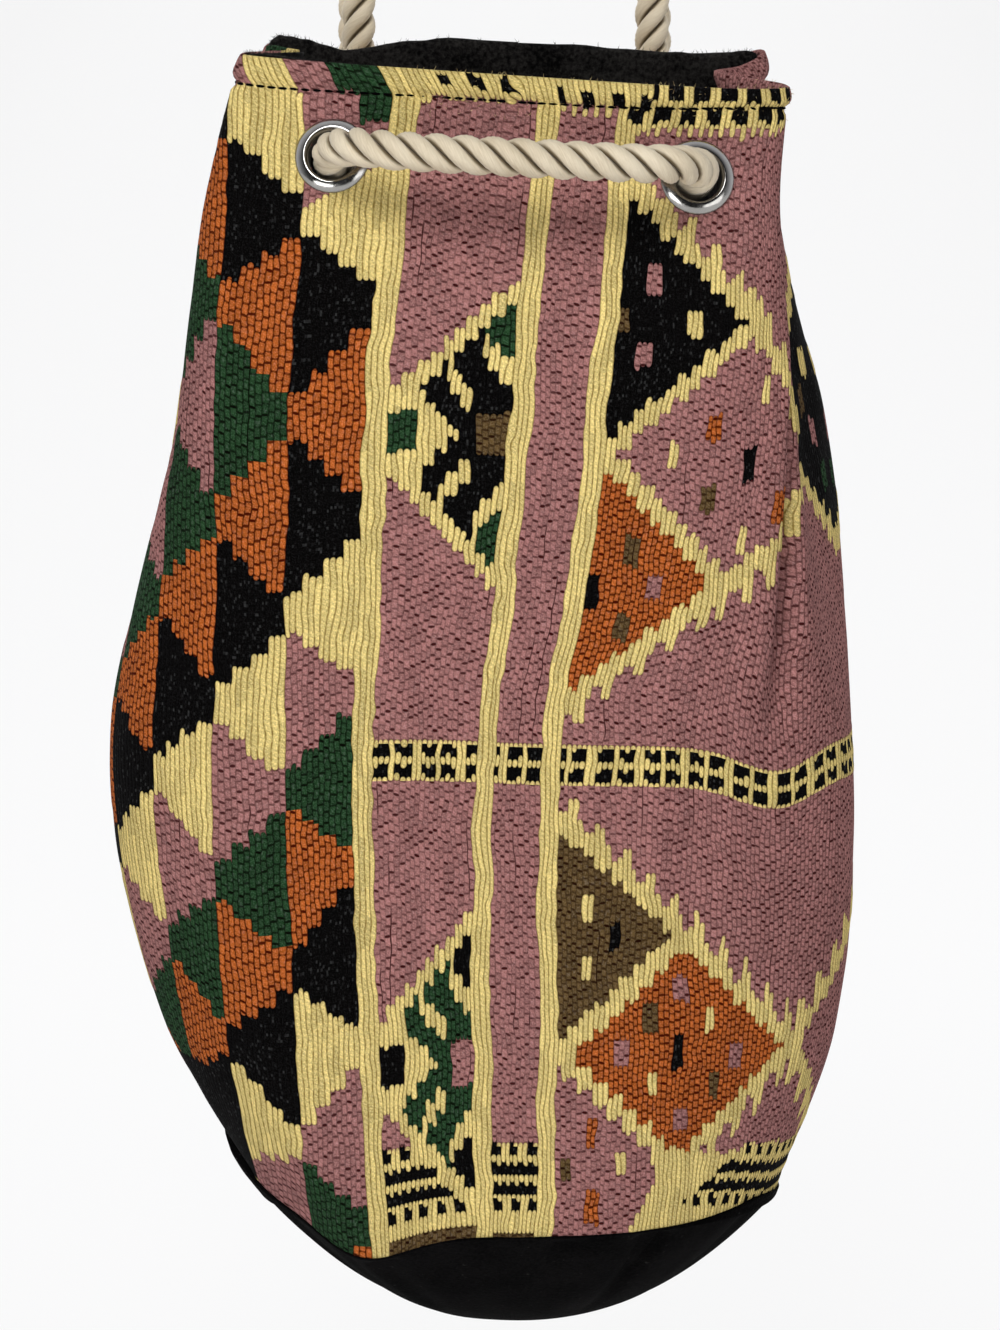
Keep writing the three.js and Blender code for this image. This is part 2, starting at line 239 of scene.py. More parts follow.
# The back rim lies lower than the mouth's own curve, most of all where the straps draw on it
RIM_ACROSS = (-90, -75, -54, -38, -22, 20, 48, 62, 76, 88)
RIM_DROP = (1.0, -2.0, 4.6, 2.8, 1.2, 3.0, 5.0, 5.2, 3.2, -3.0)
RIM_SLACK = 1.3
DROP_HEIGHT = 45.0

# Warp yarns: columns are counted from the left edge of the first cream stripe
FIRST_YARN = -132
LAST_YARN = 214
YARNS = LAST_YARN - FIRST_YARN
YARN_WIDTH = 1.8
PICKS = 280
FIRST_PICK = 0.5
PICK = (BODY_HEIGHT - FIRST_PICK - 0.4) / (PICKS - 1)

# Where the stripes and panel edges run on the front, in millimetres across, at these heights
GUIDE_HEIGHT = np.array([0, 80, 150, 180, 210, 275, 340, 377.0])
LEFT_GUIDE, RIGHT_GUIDE = -24, 40
GUIDE_YARN = {
    LEFT_GUIDE: (-83, -91, -93.5, -93, -92, -91, -88, -86),
    -12: (-64, -67, -69.5, -69.5, -69, -67.5, -63, -63),
    2: (-39.3, -43, -44.2, -43.4, -42, -39.4, -33.8, -30),
    26: (-6.5, -7.4, -6.8, -4.2, -0.4, 5, 11, 15.5),
    RIGHT_GUIDE: (12.2, 13, 13.8, 15.5, 21.5, 29.4, 34.9, 40),
}
LEFT_TURN_YARN, LEFT_TURN_RUN = -36, 23.0
RIGHT_TURN_YARN, RIGHT_TURN_RUN = 68, 46.0
FRONT_REACH = 1.6

# Unevenness of the cloth: how much, the cells across and along, and the seed of its draws
YARN_WAVE = (0.85, 7.0, 15.0, 3)
YARN_QUIVER = (0.5, 2.1, 4.8, 4)
WALL_SLUMP = (0.9, 46.0, 60.0, 8)
WALL_LUMPS = (0.35, 13.0, 17.0, 9)
BASE_PUCKER = (0.8, 3.1, 40.0, 14)
BOTTOM_CRUMPLE = (0.5, 9.0, 12.0, 15)
LINING_TUFT = (0.5, 4.0, 3.0, 21)
RAGGED_ENDS, RAGGED_SEED = 0.8, 5
DRAWS_SHAPE = (97, 89)

# Swells of the cloth: how much, where, and how wide. The sag is by yarn and by height, and the
# rest are by angle round the bag.
SAG_BY_YARN = (8.7, 85, 11)
SAG_BY_HEIGHT = (1.0, 165, 60)
LINING_PEEK = (1.8, -0.75, 0.35)
LINING_TUCKED = (6.0, 1.4, 0.4)
LAP_LEFT = (20.0, -1.75, 0.42)
LAP_RIGHT = (4.0, 1.05, 0.3)
LAP_BULGE = (3.5, -1.6, 0.22)
GATHER_SPREAD = 0.06
BASE_GATHERS = [(3.4, -0.54), (2.0, 0.15), (5.0, 0.5), (2.0, -1.1), (2.2, 1.05)]

# The lining, from its foot up to its rim, which rolls over the hem
LINING_GRID = (224, 104)
LINING_FOOT = 4.0
LINING_RIM = BODY_HEIGHT - 1.4
LINING_BACK_RISE = 2.6
ROLL_FROM = 0.92
ROLL_TURN = 0.95 * np.pi
ROLL_RADIUS = 0.6
ROLL_BACK_SWELL = 1.7
LINING_HOLE_CLEAR = 1.6

# The base, with the rows of its edge that lap over the wall, and the lining's bottom inside it
BASE_GRID = (192, 60)
LAP_ROWS = 5
LAP = 0.6
LAP_OFF_WALL = 0.5
LAP_SLOPE = 4.0
BOTTOM_REACH = 0.965
BOTTOM_LIFT = 3.2

# Dyes, as they show in even light
MAUVE, CREAM, ORANGE, GREEN, BLACK, OLIVE = range(6)
DYE_SRGB = {
    MAUVE: (152, 104, 100),
    CREAM: (209, 187, 116),
    ORANGE: (170, 87, 30),
    GREEN: (31, 60, 33),
    BLACK: (3, 2, 2),
    OLIVE: (90, 70, 39),
}

# How each dye's yarns lie, in that order: brick length, dark dashes, dark grooves, pile, and which
# yarns lie over which where two dyes meet. The dashes and grooves are painted shade between the
# yarns, and mauve's grooves take more painted shade where the cloth turns away.
BRICK = np.array([3.3, 9.0, 2.7, 3.4, 3.3, 2.8])
DASH = np.array([1.0, 0.0, 1.0, 1.0, 0.4, 1.0])
GROOVE = np.array([0.22, 1.0, 0.95, 0.8, 0.4, 0.55])
PILE = np.array([0.1, 0.4, 0.3, 0.3, 0.1, 0.15])
LIES_OVER = np.array([1, 4, 3, 3, 0, 2])
FAT_BRICK = 3.6
MAUVE_GROOVE_SHADE_YARN = (-4, 2, 50, 85)
MAUVE_GROOVE_SHADE = (0.48, 0.3, 0.3, 0.62)

# The weave's motifs: stripes by yarn, and the sizes that the lozenges and borders share
STRIPES = [(0, 4), (24, 28), (38, 42)]
STRIPE_TOP = 368.5
BELOW_SEAM, ABOVE_HEM = -9, 400
BORDER = 8.5
FINGER = 7
FINGER_YARNS, FINGER_SPACING = 2, 5
LEFT_STRIDE, RIGHT_STRIDE = 3, 2.5
BELLY_BAND = 150.6
LEFT_MIRROR, RIGHT_MIRROR = -54, 119

# Painted shade for the yarns, as shares of their dye, and the bare places of the metal, with painted shade down its
# throat
FLOAT_SHADOW = (0.42, 0.35, 0.2, 1.0)
BRICK_SHADOW = (0.13, 0.045, 0.05, 1.0)
UNDER_FLOAT_SHADE = (0.5, 0.46, 0.44, 1.0)
GREY_LINT = (0.06, 0.056, 0.052, 1.0)
NICKEL_DULL = (0.3, 0.29, 0.275, 1.0)
NICKEL_BRIGHT = (0.42, 0.41, 0.395, 1.0)
NICKEL_THROAT_SHADE = (0.05, 0.046, 0.042, 1.0)

# Undyed cotton and loose wool, as they show in even light, and painted shade for the grooves between the rope's
# strands
COTTON_PALE = (226, 213, 188)
COTTON_DULL = (200, 184, 156)
COTTON_GROOVE_SHADE = (122, 106, 80)
WOOL_PALE = (226, 208, 150)
WOOL_DULL = (168, 140, 96)

# Loose fibres on the rubbed edges, and where those edges lie in the row frame, in metres
LINT_LENGTH = (0.6, 1.9)
LINT_THICKNESS = 0.17
LINT_TANGLE = 0.7
LINT_ROOTED = 0.4
FUZZY_RIM = -0.121
FUZZY_HEM = -0.13
FRONT_HEM = -0.085
CREAM_HEM = -0.03

# Eyelets: the dome of the flange is given by shares of its width, from outside, and of its crown
EYELET_HOLE = 15.4
EYELET_FLANGE = 23.6
EYELET_METAL = 0.8
EYELET_CROWN = 2.0
EYELET_FLARE = 18.6
EYELET_DOME = [
    (0.02, 0.12), (0.05, 0.22), (0.12, 0.37), (0.22, 0.54), (0.34, 0.7), (0.46, 0.83), (0.58, 0.92),
    (0.68, 0.98), (0.76, 1.0), (0.84, 0.95), (0.91, 0.8), (0.96, 0.58), (0.99, 0.28),
]
EYELET_DISH = 1.0
EYELET_SIDES, WASHER_SIDES = 64, 48
LIP_DROP = 0.3
FLANGE_SEAT, FLANGE_EDGE = 0.5, 0.12
THROAT_FADE = 1.4
WASHER_DIAMETER = 22.0
WASHER_FACE = -(WALL + CLEAR + LINING) - EYELET_DISH
WASHER_ROUND, WASHER_EDGE = 0.2, 0.15
EYELET_ROW = BODY_HEIGHT - 29
LOW_EYELET_ROW = 45.0
EYELETS = {
    "front_left": (-54, EYELET_ROW, True),
    "front_right": (60, EYELET_ROW, True),
    "back_left": (-50, EYELET_ROW, False),
    "back_right": (50, EYELET_ROW, False),
    "low_left": (-60, LOW_EYELET_ROW, False),
    "low_right": (60, LOW_EYELET_ROW, False),
}
FRONT_TURN, BACK_TURN, TURN_STEPS = (-1.05, 1.05), (4.19, 2.09), 4001
SEAT_DEPTH = 14.0
PRESS_REACH = 30.0
PRESS_FADE = (20.0, 7.0)
UNDER_FLANGE = 0.15

# Rope: three strands laid together, and a stopper knot at each end
ROPE_DIAMETER = 12.0
ROPE_LENGTH = 1624.0
ROPE_LAY = 25.5
ROPE_STEP = 1.55
ROUTE_STEPS = 80
STRANDS = 3
STRAND_SIDES = 12
STRAND_OFF_MIDDLE = 3.2
STRAND_HALF_DEPTH, STRAND_HALF_WIDTH = 2.75, 3.35
ROPE_ROUTE = [
    (-57.7, 61.7, 36.6), (-62, 73.8, 35.4), (-65.6, 83.3, 37.1), (-68.4, 90.7, 43.8),
    (-69.6, 94.5, 56), (-60, 98.5, 220), (-53.6, 100, 472), (-52.9, 92.7, 492.7),
    (-51.8, 75, 500), (-50.8, 57.3, 492.7), (-50.2, 50.5, 474), (-50.7, 53.8, 388),
    (-50.8, 50, 369.5), (-50.6, 39, 361), (-50.2, 22.6, 357.2), (-53.5, 0, 351.8),
    (-54.3, -23, 349.3), (-53.6, -40.3, 353.2), (-47.5, -52, 354), (-33, -58.5, 352.6),
    (39, -58, 348.9), (53.6, -51.3, 348.8), (60.3, -39.3, 347.8), (59, -22.5, 344),
    (54.8, 0, 347.2), (50, 22.3, 356.8), (50.8, 38.8, 360.6), (51, 50, 369.5),
    (50.9, 53.8, 388), (50.2, 50.5, 474), (50.8, 57.3, 492.7), (51.8, 75, 500),
    (52.9, 92.7, 492.7), (53.6, 100, 472), (60, 98.5, 220), (69.6, 94, 56.5),
    (68.4, 90.3, 44.2), (65.7, 82.8, 37.6), (62.2, 73.4, 35.7), (57.7, 61.7, 36.1),
]
KNOT_DIAMETER = 30.0
KNOT_LENGTH = 26.0
KNOT_STRAND = 4.6
KNOT_SWING = 2.1
KNOT_STEPS, KNOT_SIDES = 150, 10

# Floor, light and camera, in metres
FLOOR_HEIGHT = -0.72
FLOOR_FRONT = -1.2
FLOOR_RUN = 3.6
FLOOR_HALF_WIDTH = 3.5
SWEEP_FROM = 1.0
SWEEP_RADIUS = 0.7
FLOOR_PAINT = (0.8, 0.8, 0.81, 1)
FLOOR_GLOW = (0.98, 0.98, 0.98, 1)
FLOOR_GLOW_SHARE = 0.85
SKY, SKY_STRENGTH = (0.93, 0.95, 1.0, 1), 0.31
BACKDROP, BACKDROP_STRENGTH = (0.97, 0.975, 1.0, 1), 0.91
MIRRORED = (0.95, 0.96, 1.0, 1)
MIRRORED_FROM, MIRRORED_TO = -0.8, 0.15
MIRRORED_DARK, MIRRORED_PALE = 0.03, 0.9
BAG_MIDDLE = Vector((0, -0.08, -0.3))
LAMPS = {
    "key": ((-0.7, -1.4, -0.75), 0.9, 12),
    "fill": ((1.2, -1.3, -0.55), 1.0, 6.2),
    "top": ((-0.2, -1.05, 0.66), 0.55, 9),
    "back_left": ((-0.8, 1.2, 0.55), 0.8, 12),
    "back_right": ((0.8, 1.2, 0.55), 0.8, 12),
}
CAMERA_PLACE = (-0.0017, -0.8432, -0.1736)
CAMERA_TILT = math.radians(80)
SENSOR = 36
FOCAL_PIXELS, PHOTO_HEIGHT = 2301, 1330


def in_row_frame(points):
    return (np.asarray(points, float) - HANGING_POINT) * MM


def swell(where, height, at, spread):
    """A soft rise of this height and spread."""
    return height * np.exp(-((where - at) / spread) ** 2)


def share_of(value, low, span):
    return np.clip((value - low) / span, 0, 1)


def unit(directions):
    return directions / np.linalg.norm(directions, axis=-1, keepdims=True)


def run_along(line):
    """The length of a line from its start up to each of its points."""
    return np.r_[0, np.cumsum(np.linalg.norm(np.diff(line, axis=0), axis=1))]


def soft_noise(across, along_it, strength, cell_across, cell_along, seed):
    """Even, seeded unevenness of this strength, with cells of these sizes."""
    u, v = across / cell_across, along_it / cell_along
    u0, v0 = np.floor(u).astype(int), np.floor(v).astype(int)
    draws = np.random.default_rng(seed).uniform(-1, 1, DRAWS_SHAPE)
    fu, fv = u - u0, v - v0
    fu, fv = fu * fu * (3 - 2 * fu), fv * fv * (3 - 2 * fv)

    def draw(i, j):
        return draws[(u0 + i) % DRAWS_SHAPE[0], (v0 + j) % DRAWS_SHAPE[1]]

    low = draw(0, 0) * (1 - fu) + draw(1, 0) * fu
    high = draw(0, 1) * (1 - fu) + draw(1, 1) * fu
    return strength * (low * (1 - fv) + high * fv)


def filled_out(*values):
    return np.broadcast_arrays(*(np.asarray(value, float) for value in values))


# The filled bag's shape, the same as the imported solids'

def smooth_through(at, values, height):
    """A smooth curve through given values, read at any heights."""
    at, values = np.asarray(at, float), np.asarray(values, float)
    low = np.r_[0, np.arange(len(at) - 1)]
    high = np.r_[np.arange(1, len(at)), len(at) - 1]
    slope = (values[high] - values[low]) / (at[high] - at[low])
    i = np.clip(np.searchsorted(at, height) - 1, 0, len(at) - 2)
    span = at[i + 1] - at[i]
    t = (height - at[i]) / span
    ease = t * t * (3 - 2 * t)
    lift = slope[i] * t * (1 - t) ** 2 - slope[i + 1] * t * t * (1 - t)
    return values[i] + (values[i + 1] - values[i]) * ease + span * lift


def along(height, key):
    return smooth_through(STATION_HEIGHT, STATION[key], height)


def signed_power(value, power):
    return np.sign(value) * np.abs(value) ** power


def sideways(angle, height):
    """How far to the right and to the front a point of the outline lies, each from -1 to 1."""
    power = 2 / along(height, "square")
    return signed_power(np.sin(angle), power), signed_power(np.cos(angle), power)


def sideways_at_hem(angle):
    return sideways(angle, np.full_like(angle, BODY_HEIGHT))


def section(angle, height):
    """The bag's outline at a height."""
    right, front = sideways(angle, height)
    half_width = along(height, "width") / 2 - along(height, "pinch") * (1 - front) / 2
    tuck = np.where(right > 0, TUCK_RIGHT * along(height, "tuck_right"),
                    TUCK_LEFT * along(height, "tuck_left"))
    valley = np.where(right > 0, along(height, "fold_turn"), 0)
    drawn_in = swell(front, tuck * right ** 2, valley, TUCK_SPREAD)
    x = along(height, "drift") + right * half_width - np.sign(right) * drawn_in
    return np.stack([x, -front * along(height, "depth") / 2], -1)


def inset_section(angle, height, inset):
    step = 1e-3
    run = unit(section(angle + step, height) - section(angle - step, height))
    square = np.stack([-run[..., 1], run[..., 0]], -1)
    return section(angle, height) + square * np.asarray(inset)[..., None]


def seam_droop(angle):
    turn = angle - SEAM_DROOP_AT
    turn = np.arctan2(np.sin(turn), np.cos(turn))
    return swell(turn, SEAM_DROOP, 0, SEAM_DROOP_SPREAD)


def wall_point(angle, height, inset):
    """A point of the wall: height up the cloth, inset inwards from its outside."""
    angle, height, inset = filled_out(angle, height, inset)
    flat = inset_section(angle, height, inset)
    low = -BASE_TILT * section(angle, np.zeros_like(angle))[..., 1] - seam_droop(angle)
    right, front = sideways_at_hem(angle)
    high = BODY_HEIGHT + BACK_RISE * (1 - front) / 2 - HEM_SLOPE * right * (1 + front) / 2
    return np.stack([flat[..., 0], flat[..., 1], low + (high - low) * height / BODY_HEIGHT], -1)


def side_crease(angle, height):
    """How far the cloth falls in at the right-hand crease, with a soft roll in front of it."""
    turn = angle - np.interp(height, CREASE_HEIGHT, CREASE_TURN)
    depth = np.interp(height, CREASE_HEIGHT, CREASE_DEPTH)
    valley = swell(turn, 1, 0, CREASE_SPREAD)
    roll = swell(turn, CREASE_ROLL, -2 * CREASE_SPREAD, CREASE_SPREAD)
    return depth * (valley - roll)


def hung_point(angle, height, inset):
    """A point of the cloth as it hangs: the wall with its crease, its hem and its slack back rim."""
    angle, height, inset = filled_out(angle, height, inset)
    near_hem = np.interp(height, (HEM_FOOT - DROP_HEIGHT, HEM_FOOT, BODY_HEIGHT), (0, 1, 0))
    rise = swell(angle, HEM_RISE * near_hem, HEM_RISE_AT, HEM_RISE_SPREAD)
    points = wall_point(angle, height + rise, inset + side_crease(angle, height))
    at_back = np.clip(-RIM_SLACK * sideways_at_hem(angle)[1], 0, 1)
    near_rim = np.clip((height - BODY_HEIGHT + DROP_HEIGHT) / DROP_HEIGHT, 0, None) ** 2
    points[..., 2] -= np.interp(points[..., 0], RIM_ACROSS, RIM_DROP) * at_back * near_rim
    return points


def base_point(angle, reach, lift):
    """A point of the round base: reach runs from 0 at its middle to 1 at its rim."""
    rim = section(angle, np.zeros_like(angle))
    middle = STATION["drift"][0]
    x = middle + (rim[..., 0] - middle) * reach
    y = rim[..., 1] * reach
    z = -BASE_TILT * y - seam_droop(angle) * reach ** 3 - BASE_SAG * (1 - reach ** BASE_FULLNESS)
    return np.stack([x, y, z - CLEAR + lift], -1)


def eyelet_seat(across, height, on_front):
    """Where an eyelet sits on the wall, and the wall's outward direction there."""
    turn = np.linspace(*(FRONT_TURN if on_front else BACK_TURN), TURN_STEPS)
    angle = np.interp(across, section(turn, np.full_like(turn, height))[:, 0], turn)
    step = 1e-2
    around = wall_point(angle + step, height, 0) - wall_point(angle - step, height, 0)
    up = wall_point(angle, height + step, 0) - wall_point(angle, height - step, 0)
    return wall_point(angle, height, 0), unit(np.cross(around, up))


SEATS = {name: eyelet_seat(*spot) for name, spot in EYELETS.items()}


# Making meshes

def laid_cloth(columns, rows, place):
    """A grid of cloth, its corners moved to where they lie in the bag, with a map of its own."""
    cloth = bmesh.new()
    cloth.loops.layers.uv.new("yarns")
    bmesh.ops.create_grid(cloth, x_segments=columns, y_segments=rows, size=0.5, calc_uvs=True)
    flat = np.array([corner.co[:2] for corner in cloth.verts]) + 0.5
    laid = in_row_frame(place(flat[:, 0] * columns, flat[:, 1] * rows))
    for corner, spot in zip(cloth.verts, laid):
        corner.co = spot
    return cloth


def angle_of(turn, columns):
    """The angle of a grid's column, where the grid goes once round the bag."""
    return turn / columns * 2 * math.pi - math.pi


def close_tube(cloth):
    """Joins the two side edges of a cloth that goes all the way round."""
    edge = [corner for corner in cloth.verts if corner.is_boundary]
    bmesh.ops.remove_doubles(cloth, verts=edge, dist=WELD)


def close_and_face_out(shape):
    bmesh.ops.remove_doubles(shape, verts=shape.verts[:], dist=WELD)
    bmesh.ops.recalc_face_normals(shape, faces=shape.faces[:])


def cut_eyelet_holes(cloth, radius):
    """Opens the cloth behind each eyelet, under its flange."""
    for place, out in SEATS.values():
        spot = Vector(in_row_frame(place))
        out = Vector(out)
        inside = []
        for face in cloth.faces:
            off = face.calc_center_median() - spot
            depth = off.dot(out)
            if abs(depth) < SEAT_DEPTH * MM and (off - out * depth).length < radius * MM:
                inside.append(face)
        bmesh.ops.delete(cloth, geom=inside, context="FACES")


def pointing(direction, axis="Z", up="Y"):
    """The turn that points an axis of a shape in a direction."""
    return Vector(direction).to_track_quat(axis, up).to_matrix().to_4x4()


def placed(name, shape, material):
    """An object of a shape that is done, smooth all over."""
    mesh = bpy.data.meshes.new(name)
    shape.to_mesh(mesh)
    shape.free()
    mesh.polygons.foreach_set("use_smooth", np.ones(len(mesh.polygons), bool))
    mesh.materials.append(material)
    piece = bpy.data.objects.new(name, mesh)
    bpy.context.collection.objects.link(piece)
    return piece


def finished_piece(name, shape, material, slot, stands_for=None):
    piece = placed(name, shape, material)
    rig.ride(piece, "root")
    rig.slot(piece, slot)
    if stands_for:
        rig.replaces(piece, stands_for)
    return piece


def read_map(piece):
    uv = np.empty(len(piece.data.loops) * 2, np.float32)
    piece.data.uv_layers["yarns"].data.foreach_get("uv", uv)
    return uv.reshape(-1, 2)


def write_map(piece, uv):
    piece.data.uv_layers["yarns"].data.foreach_set("uv", uv.astype(np.float32).ravel())


# Materials

def as_shown(srgb):
    """The colour, for a shader, that shows as these 0 to 255 values in even light."""
    value = np.asarray(srgb, float) / 255
    linear = np.where(value <= 0.04045, value / 12.92, ((value + 0.055) / 1.055) ** 2.4)
    return (*linear, 1.0)


class Wire:
    """A value that leaves a node, so that sums of nodes read as plain sums."""

    def __init__(self, nodes, socket):
        self.nodes = nodes
        self.socket = socket

    def __add__(self, other):
        return self.nodes.maths("ADD", self, other)

    def __sub__(self, other):
        return self.nodes.maths("SUBTRACT", self, other)

    def __rsub__(self, other):
        return self.nodes.maths("SUBTRACT", other, self)

    def __mul__(self, other):
        return self.nodes.maths("MULTIPLY", self, other)

    def __truediv__(self, other):
        return self.nodes.maths("DIVIDE", self, other)

    def __pow__(self, power):
        return self.nodes.maths("POWER", self, power)

    def __abs__(self):
        return self.nodes.maths("ABSOLUTE", self)

    def __floor__(self):
        return self.nodes.maths("FLOOR", self)

    def __round__(self):
        return self.nodes.maths("ROUND", self)


class Nodes:
    """A tree of shader nodes in the making."""

    def __init__(self, tree):
        self.tree = tree
        tree.nodes.clear()

    def put(self, socket, value):
        if isinstance(value, Wire):
            self.tree.links.new(value.socket, socket)
        else:
            socket.default_value = value

    def add(self, kind, inputs=(), **settings):
        node = self.tree.nodes.new(kind)
        for key, value in settings.items():
            setattr(node, key, value)
        for key, value in dict(inputs).items():
            self.put(node.inputs[key], value)
        return node

    def made(self, kind, output, inputs=(), **settings):
        return Wire(self, self.add(kind, inputs, **settings).outputs[output])

    def maths(self, operation, *values, clamp=False):
        return self.made("ShaderNodeMath", "Value", enumerate(values), operation=operation, use_clamp=clamp)

    def greater(self, one, other, clamp=False):
        return self.maths("MAXIMUM", one, other, clamp=clamp)

    def between(self, value, low, high, to_low=0.0, to_high=1.0):
        """A smooth step, as the value goes from low to high."""
        values = enumerate((value, low, high, to_low, to_high))
        return self.made("ShaderNodeMapRange", "Result", values, interpolation_type="SMOOTHSTEP")

    def mixed(self, share, first, second, blend="MIX"):
        """One colour laid over another. Sockets 6, 7 and 2 are the node's colours."""
        colours = {0: share, 6: first, 7: second}
        return self.made("ShaderNodeMix", 2, colours, data_type="RGBA", blend_type=blend)

    def joined(self, x, y, z=0.0):
        return self.made("ShaderNodeCombineXYZ", "Vector", enumerate((x, y, z)))

    def split(self, vector):
        node = self.add("ShaderNodeSeparateXYZ", {0: vector})
        return [Wire(self, output) for output in node.outputs]

    def noise(self, where, scale, detail=2.0, roughness=0.5):
        inputs = {"Vector": where, "Scale": scale, "Detail": detail, "Roughness": roughness}
        return self.made("ShaderNodeTexNoise", "Fac", inputs)

    def uneven(self, x, y, detail=2.0, roughness=0.5):
        """Unevenness over a map, in which a step of 1 is a cell."""
        return self.noise(self.joined(x, y), 1.0, detail, roughness)

    def draw(self, x, y):
        """A draw between 0 and 1 for each pair of values."""
        return self.made("ShaderNodeTexWhiteNoise", "Value", {"Vector": self.joined(x, y)},
                         noise_dimensions="2D")

    def seen_by(self, *rays):
        """Whether a ray is one of these kinds."""
        path = self.add("ShaderNodeLightPath")
        seen, *others = (Wire(self, path.outputs[ray]) for ray in rays)
        for other in others:
            seen = self.greater(seen, other)
        return seen


class Finish(Nodes):
    """The material of a piece."""

    def __init__(self, name):
        self.material = bpy.data.materials.new(name)
        self.material.use_nodes = True
        super().__init__(self.material.node_tree)
        self.surface = self.add("ShaderNodeBsdfPrincipled")
        self.add("ShaderNodeOutputMaterial", {"Surface": Wire(self, self.surface.outputs["BSDF"])})

    def own_map(self):
        return self.split(self.made("ShaderNodeUVMap", "UV", uv_map="yarns"))[:2]

    def own_place(self):
        return self.made("ShaderNodeTexCoord", "Object")

    def mark(self, name, output="Fac"):
        return self.made("ShaderNodeAttribute", output, attribute_type="GEOMETRY", attribute_name=name)

    def dress(self, looks):
        for name, value in looks.items():
            self.put(self.surface.inputs[name], value)

    def relief(self, height, depth_mm, strength):
        inputs = {"Height": height, "Distance": depth_mm * MM, "Strength": strength}
        self.dress({"Normal": self.made("ShaderNodeBump", "Normal", inputs)})


def woven_finish():
    """Yarns by their own map: bricks with dark dashes of painted shade between them, or long floats with round ends.
    """
    cloth = Finish("woven_wool")
    yarn, up = cloth.own_map()
    brick, dash_mark, groove_mark, tip = (
        cloth.mark(name) for name in ("brick", "dash", "groove", "tip"))
    dye, beyond = cloth.mark("dye", "Color"), cloth.mark("beyond", "Color")
    by_column, by_thread, by_gap = 3.0, 11.0, 29.0

    # A point's place in its brick: the bricks are staggered from yarn to yarn, and their ends lean
    column = math.floor(yarn)
    side = yarn - column
    off_middle = abs(side * 2.0 - 1.0)
    shuffle = cloth.draw(column, by_column)
    slack = cloth.uneven(column * 0.7, up * 0.11)
    level = up / brick - (column / 3.0 + (shuffle + slack) * 0.34)
    lean = (cloth.draw(column, round(level)) - 0.25) * (side - 0.5)
    level = level + lean * 0.26
    row = math.floor(level)
    rise = level - row
    near_end = cloth.maths("MINIMUM", rise, 1.0 - rise)
    end_mm = near_end * brick

    # Dark dashes of painted shade between the ends of the bricks
    bite = cloth.draw(column, round(level) + 0.5)
    half_dash = (1.0 - off_middle ** 3.0) * (bite * 0.26 + 0.24) + 0.1
    past_dash = cloth.between(end_mm, half_dash * 0.5, half_dash * 1.15)
    dash = (1.0 - past_dash) * (bite * 0.5 + 0.5) * dash_mark

    # Painted shade in the grooves between the yarns, fainter here and there, and round the corners of the bricks
    edge = round(yarn)
    faint = cloth.between(cloth.uneven(edge, up * 0.5), 0.32, 0.6, 0.35, 1.0)
    groove = cloth.between(off_middle, 0.5, 1.0) * faint
    corner = off_middle ** 2.2 + (1.0 - near_end * 2.0) ** 2.8
    corner = cloth.between(corner, 0.7, 1.15) * dash_mark
    groove = cloth.greater(groove, corner) * groove_mark

    # Painted shade in the gaps, where two yarns stand apart for a stretch
    opens = cloth.between(cloth.draw(edge, by_gap), 0.8, 0.9)
    stretch = cloth.between(cloth.uneven(edge * 1.7, up * 0.03), 0.5, 0.58)
    gap = cloth.between(off_middle, 0.6, 0.95) * (opens * stretch * dash_mark)
    groove = cloth.greater(groove, gap)

    # The round end of a float, in the pick that it ends in, with painted shade round its edge
    in_pick = cloth.maths("FRACT", (up - FIRST_PICK) / PICK)
    past = tip * (in_pick - 0.5) + 0.5
    cap = off_middle * off_middle + past * past
    outside = cloth.between(cap, 0.85, 1.1) * abs(tip)
    rim = cloth.between(cap, 0.35, 0.95, 0.0, 0.5) * abs(tip)

    # Tones by brick, by thread, by nap and in long streaks, and a painted highlight and shade along each ply's twist
    fibre = cloth.uneven(yarn * 5.0, up * 2.2 + yarn * 3.0, 3.0, 0.6)
    nap = cloth.between(fibre, 0.36, 0.66)
    ply = abs(cloth.maths("FRACT", up * 0.6 + side * 0.8 + shuffle) - 0.5)
    streak = cloth.uneven(yarn * 0.22, up * 0.018, 3.0)
    tone = cloth.draw(column, row) * 0.36 + 0.28 + cloth.draw(column, by_thread) * 0.08
    tone = tone + nap * 0.5 + streak * 0.34 + ply * 0.48
    lit = cloth.mixed(1.0, dye, cloth.joined(tone, tone, tone), "MULTIPLY")

    # Specks of lint and a pale down of loose fibres over them, with the sheen that the fibres catch painted in
    lint = cloth.draw(math.floor(yarn * 3.0), math.floor(up * 1.1))
    brightness = cloth.made("ShaderNodeRGBToBW", 0, {0: dye})
    down = (cloth.maths("SQRT", brightness) + 0.06) * 0.2
    down = down * cloth.maths("SUBTRACT", nap, 0.45, clamp=True)
    lint_and_sheen = cloth.between(lint, 0.88, 1.0) * 0.026 + down
    lit = cloth.mixed(1.0, lit, cloth.joined(lint_and_sheen, lint_and_sheen, lint_and_sheen), "ADD")

    # The dashes, grooves, gaps and float ends' edges are painted shade: the dye darkened by its shadow shares. Past a
    # float's end, the yarn beyond shows in painted shade.
    shadow = cloth.mixed(dash_mark, FLOAT_SHADOW, BRICK_SHADOW)
    deep = cloth.mixed(1.0, dye, shadow, "MULTIPLY")
    shade = cloth.greater(cloth.greater(dash, groove), rim, clamp=True)
    under = cloth.mixed(1.0, beyond, UNDER_FLOAT_SHADE, "MULTIPLY")
    colour = cloth.mixed(outside, cloth.mixed(shade, lit, deep), under)

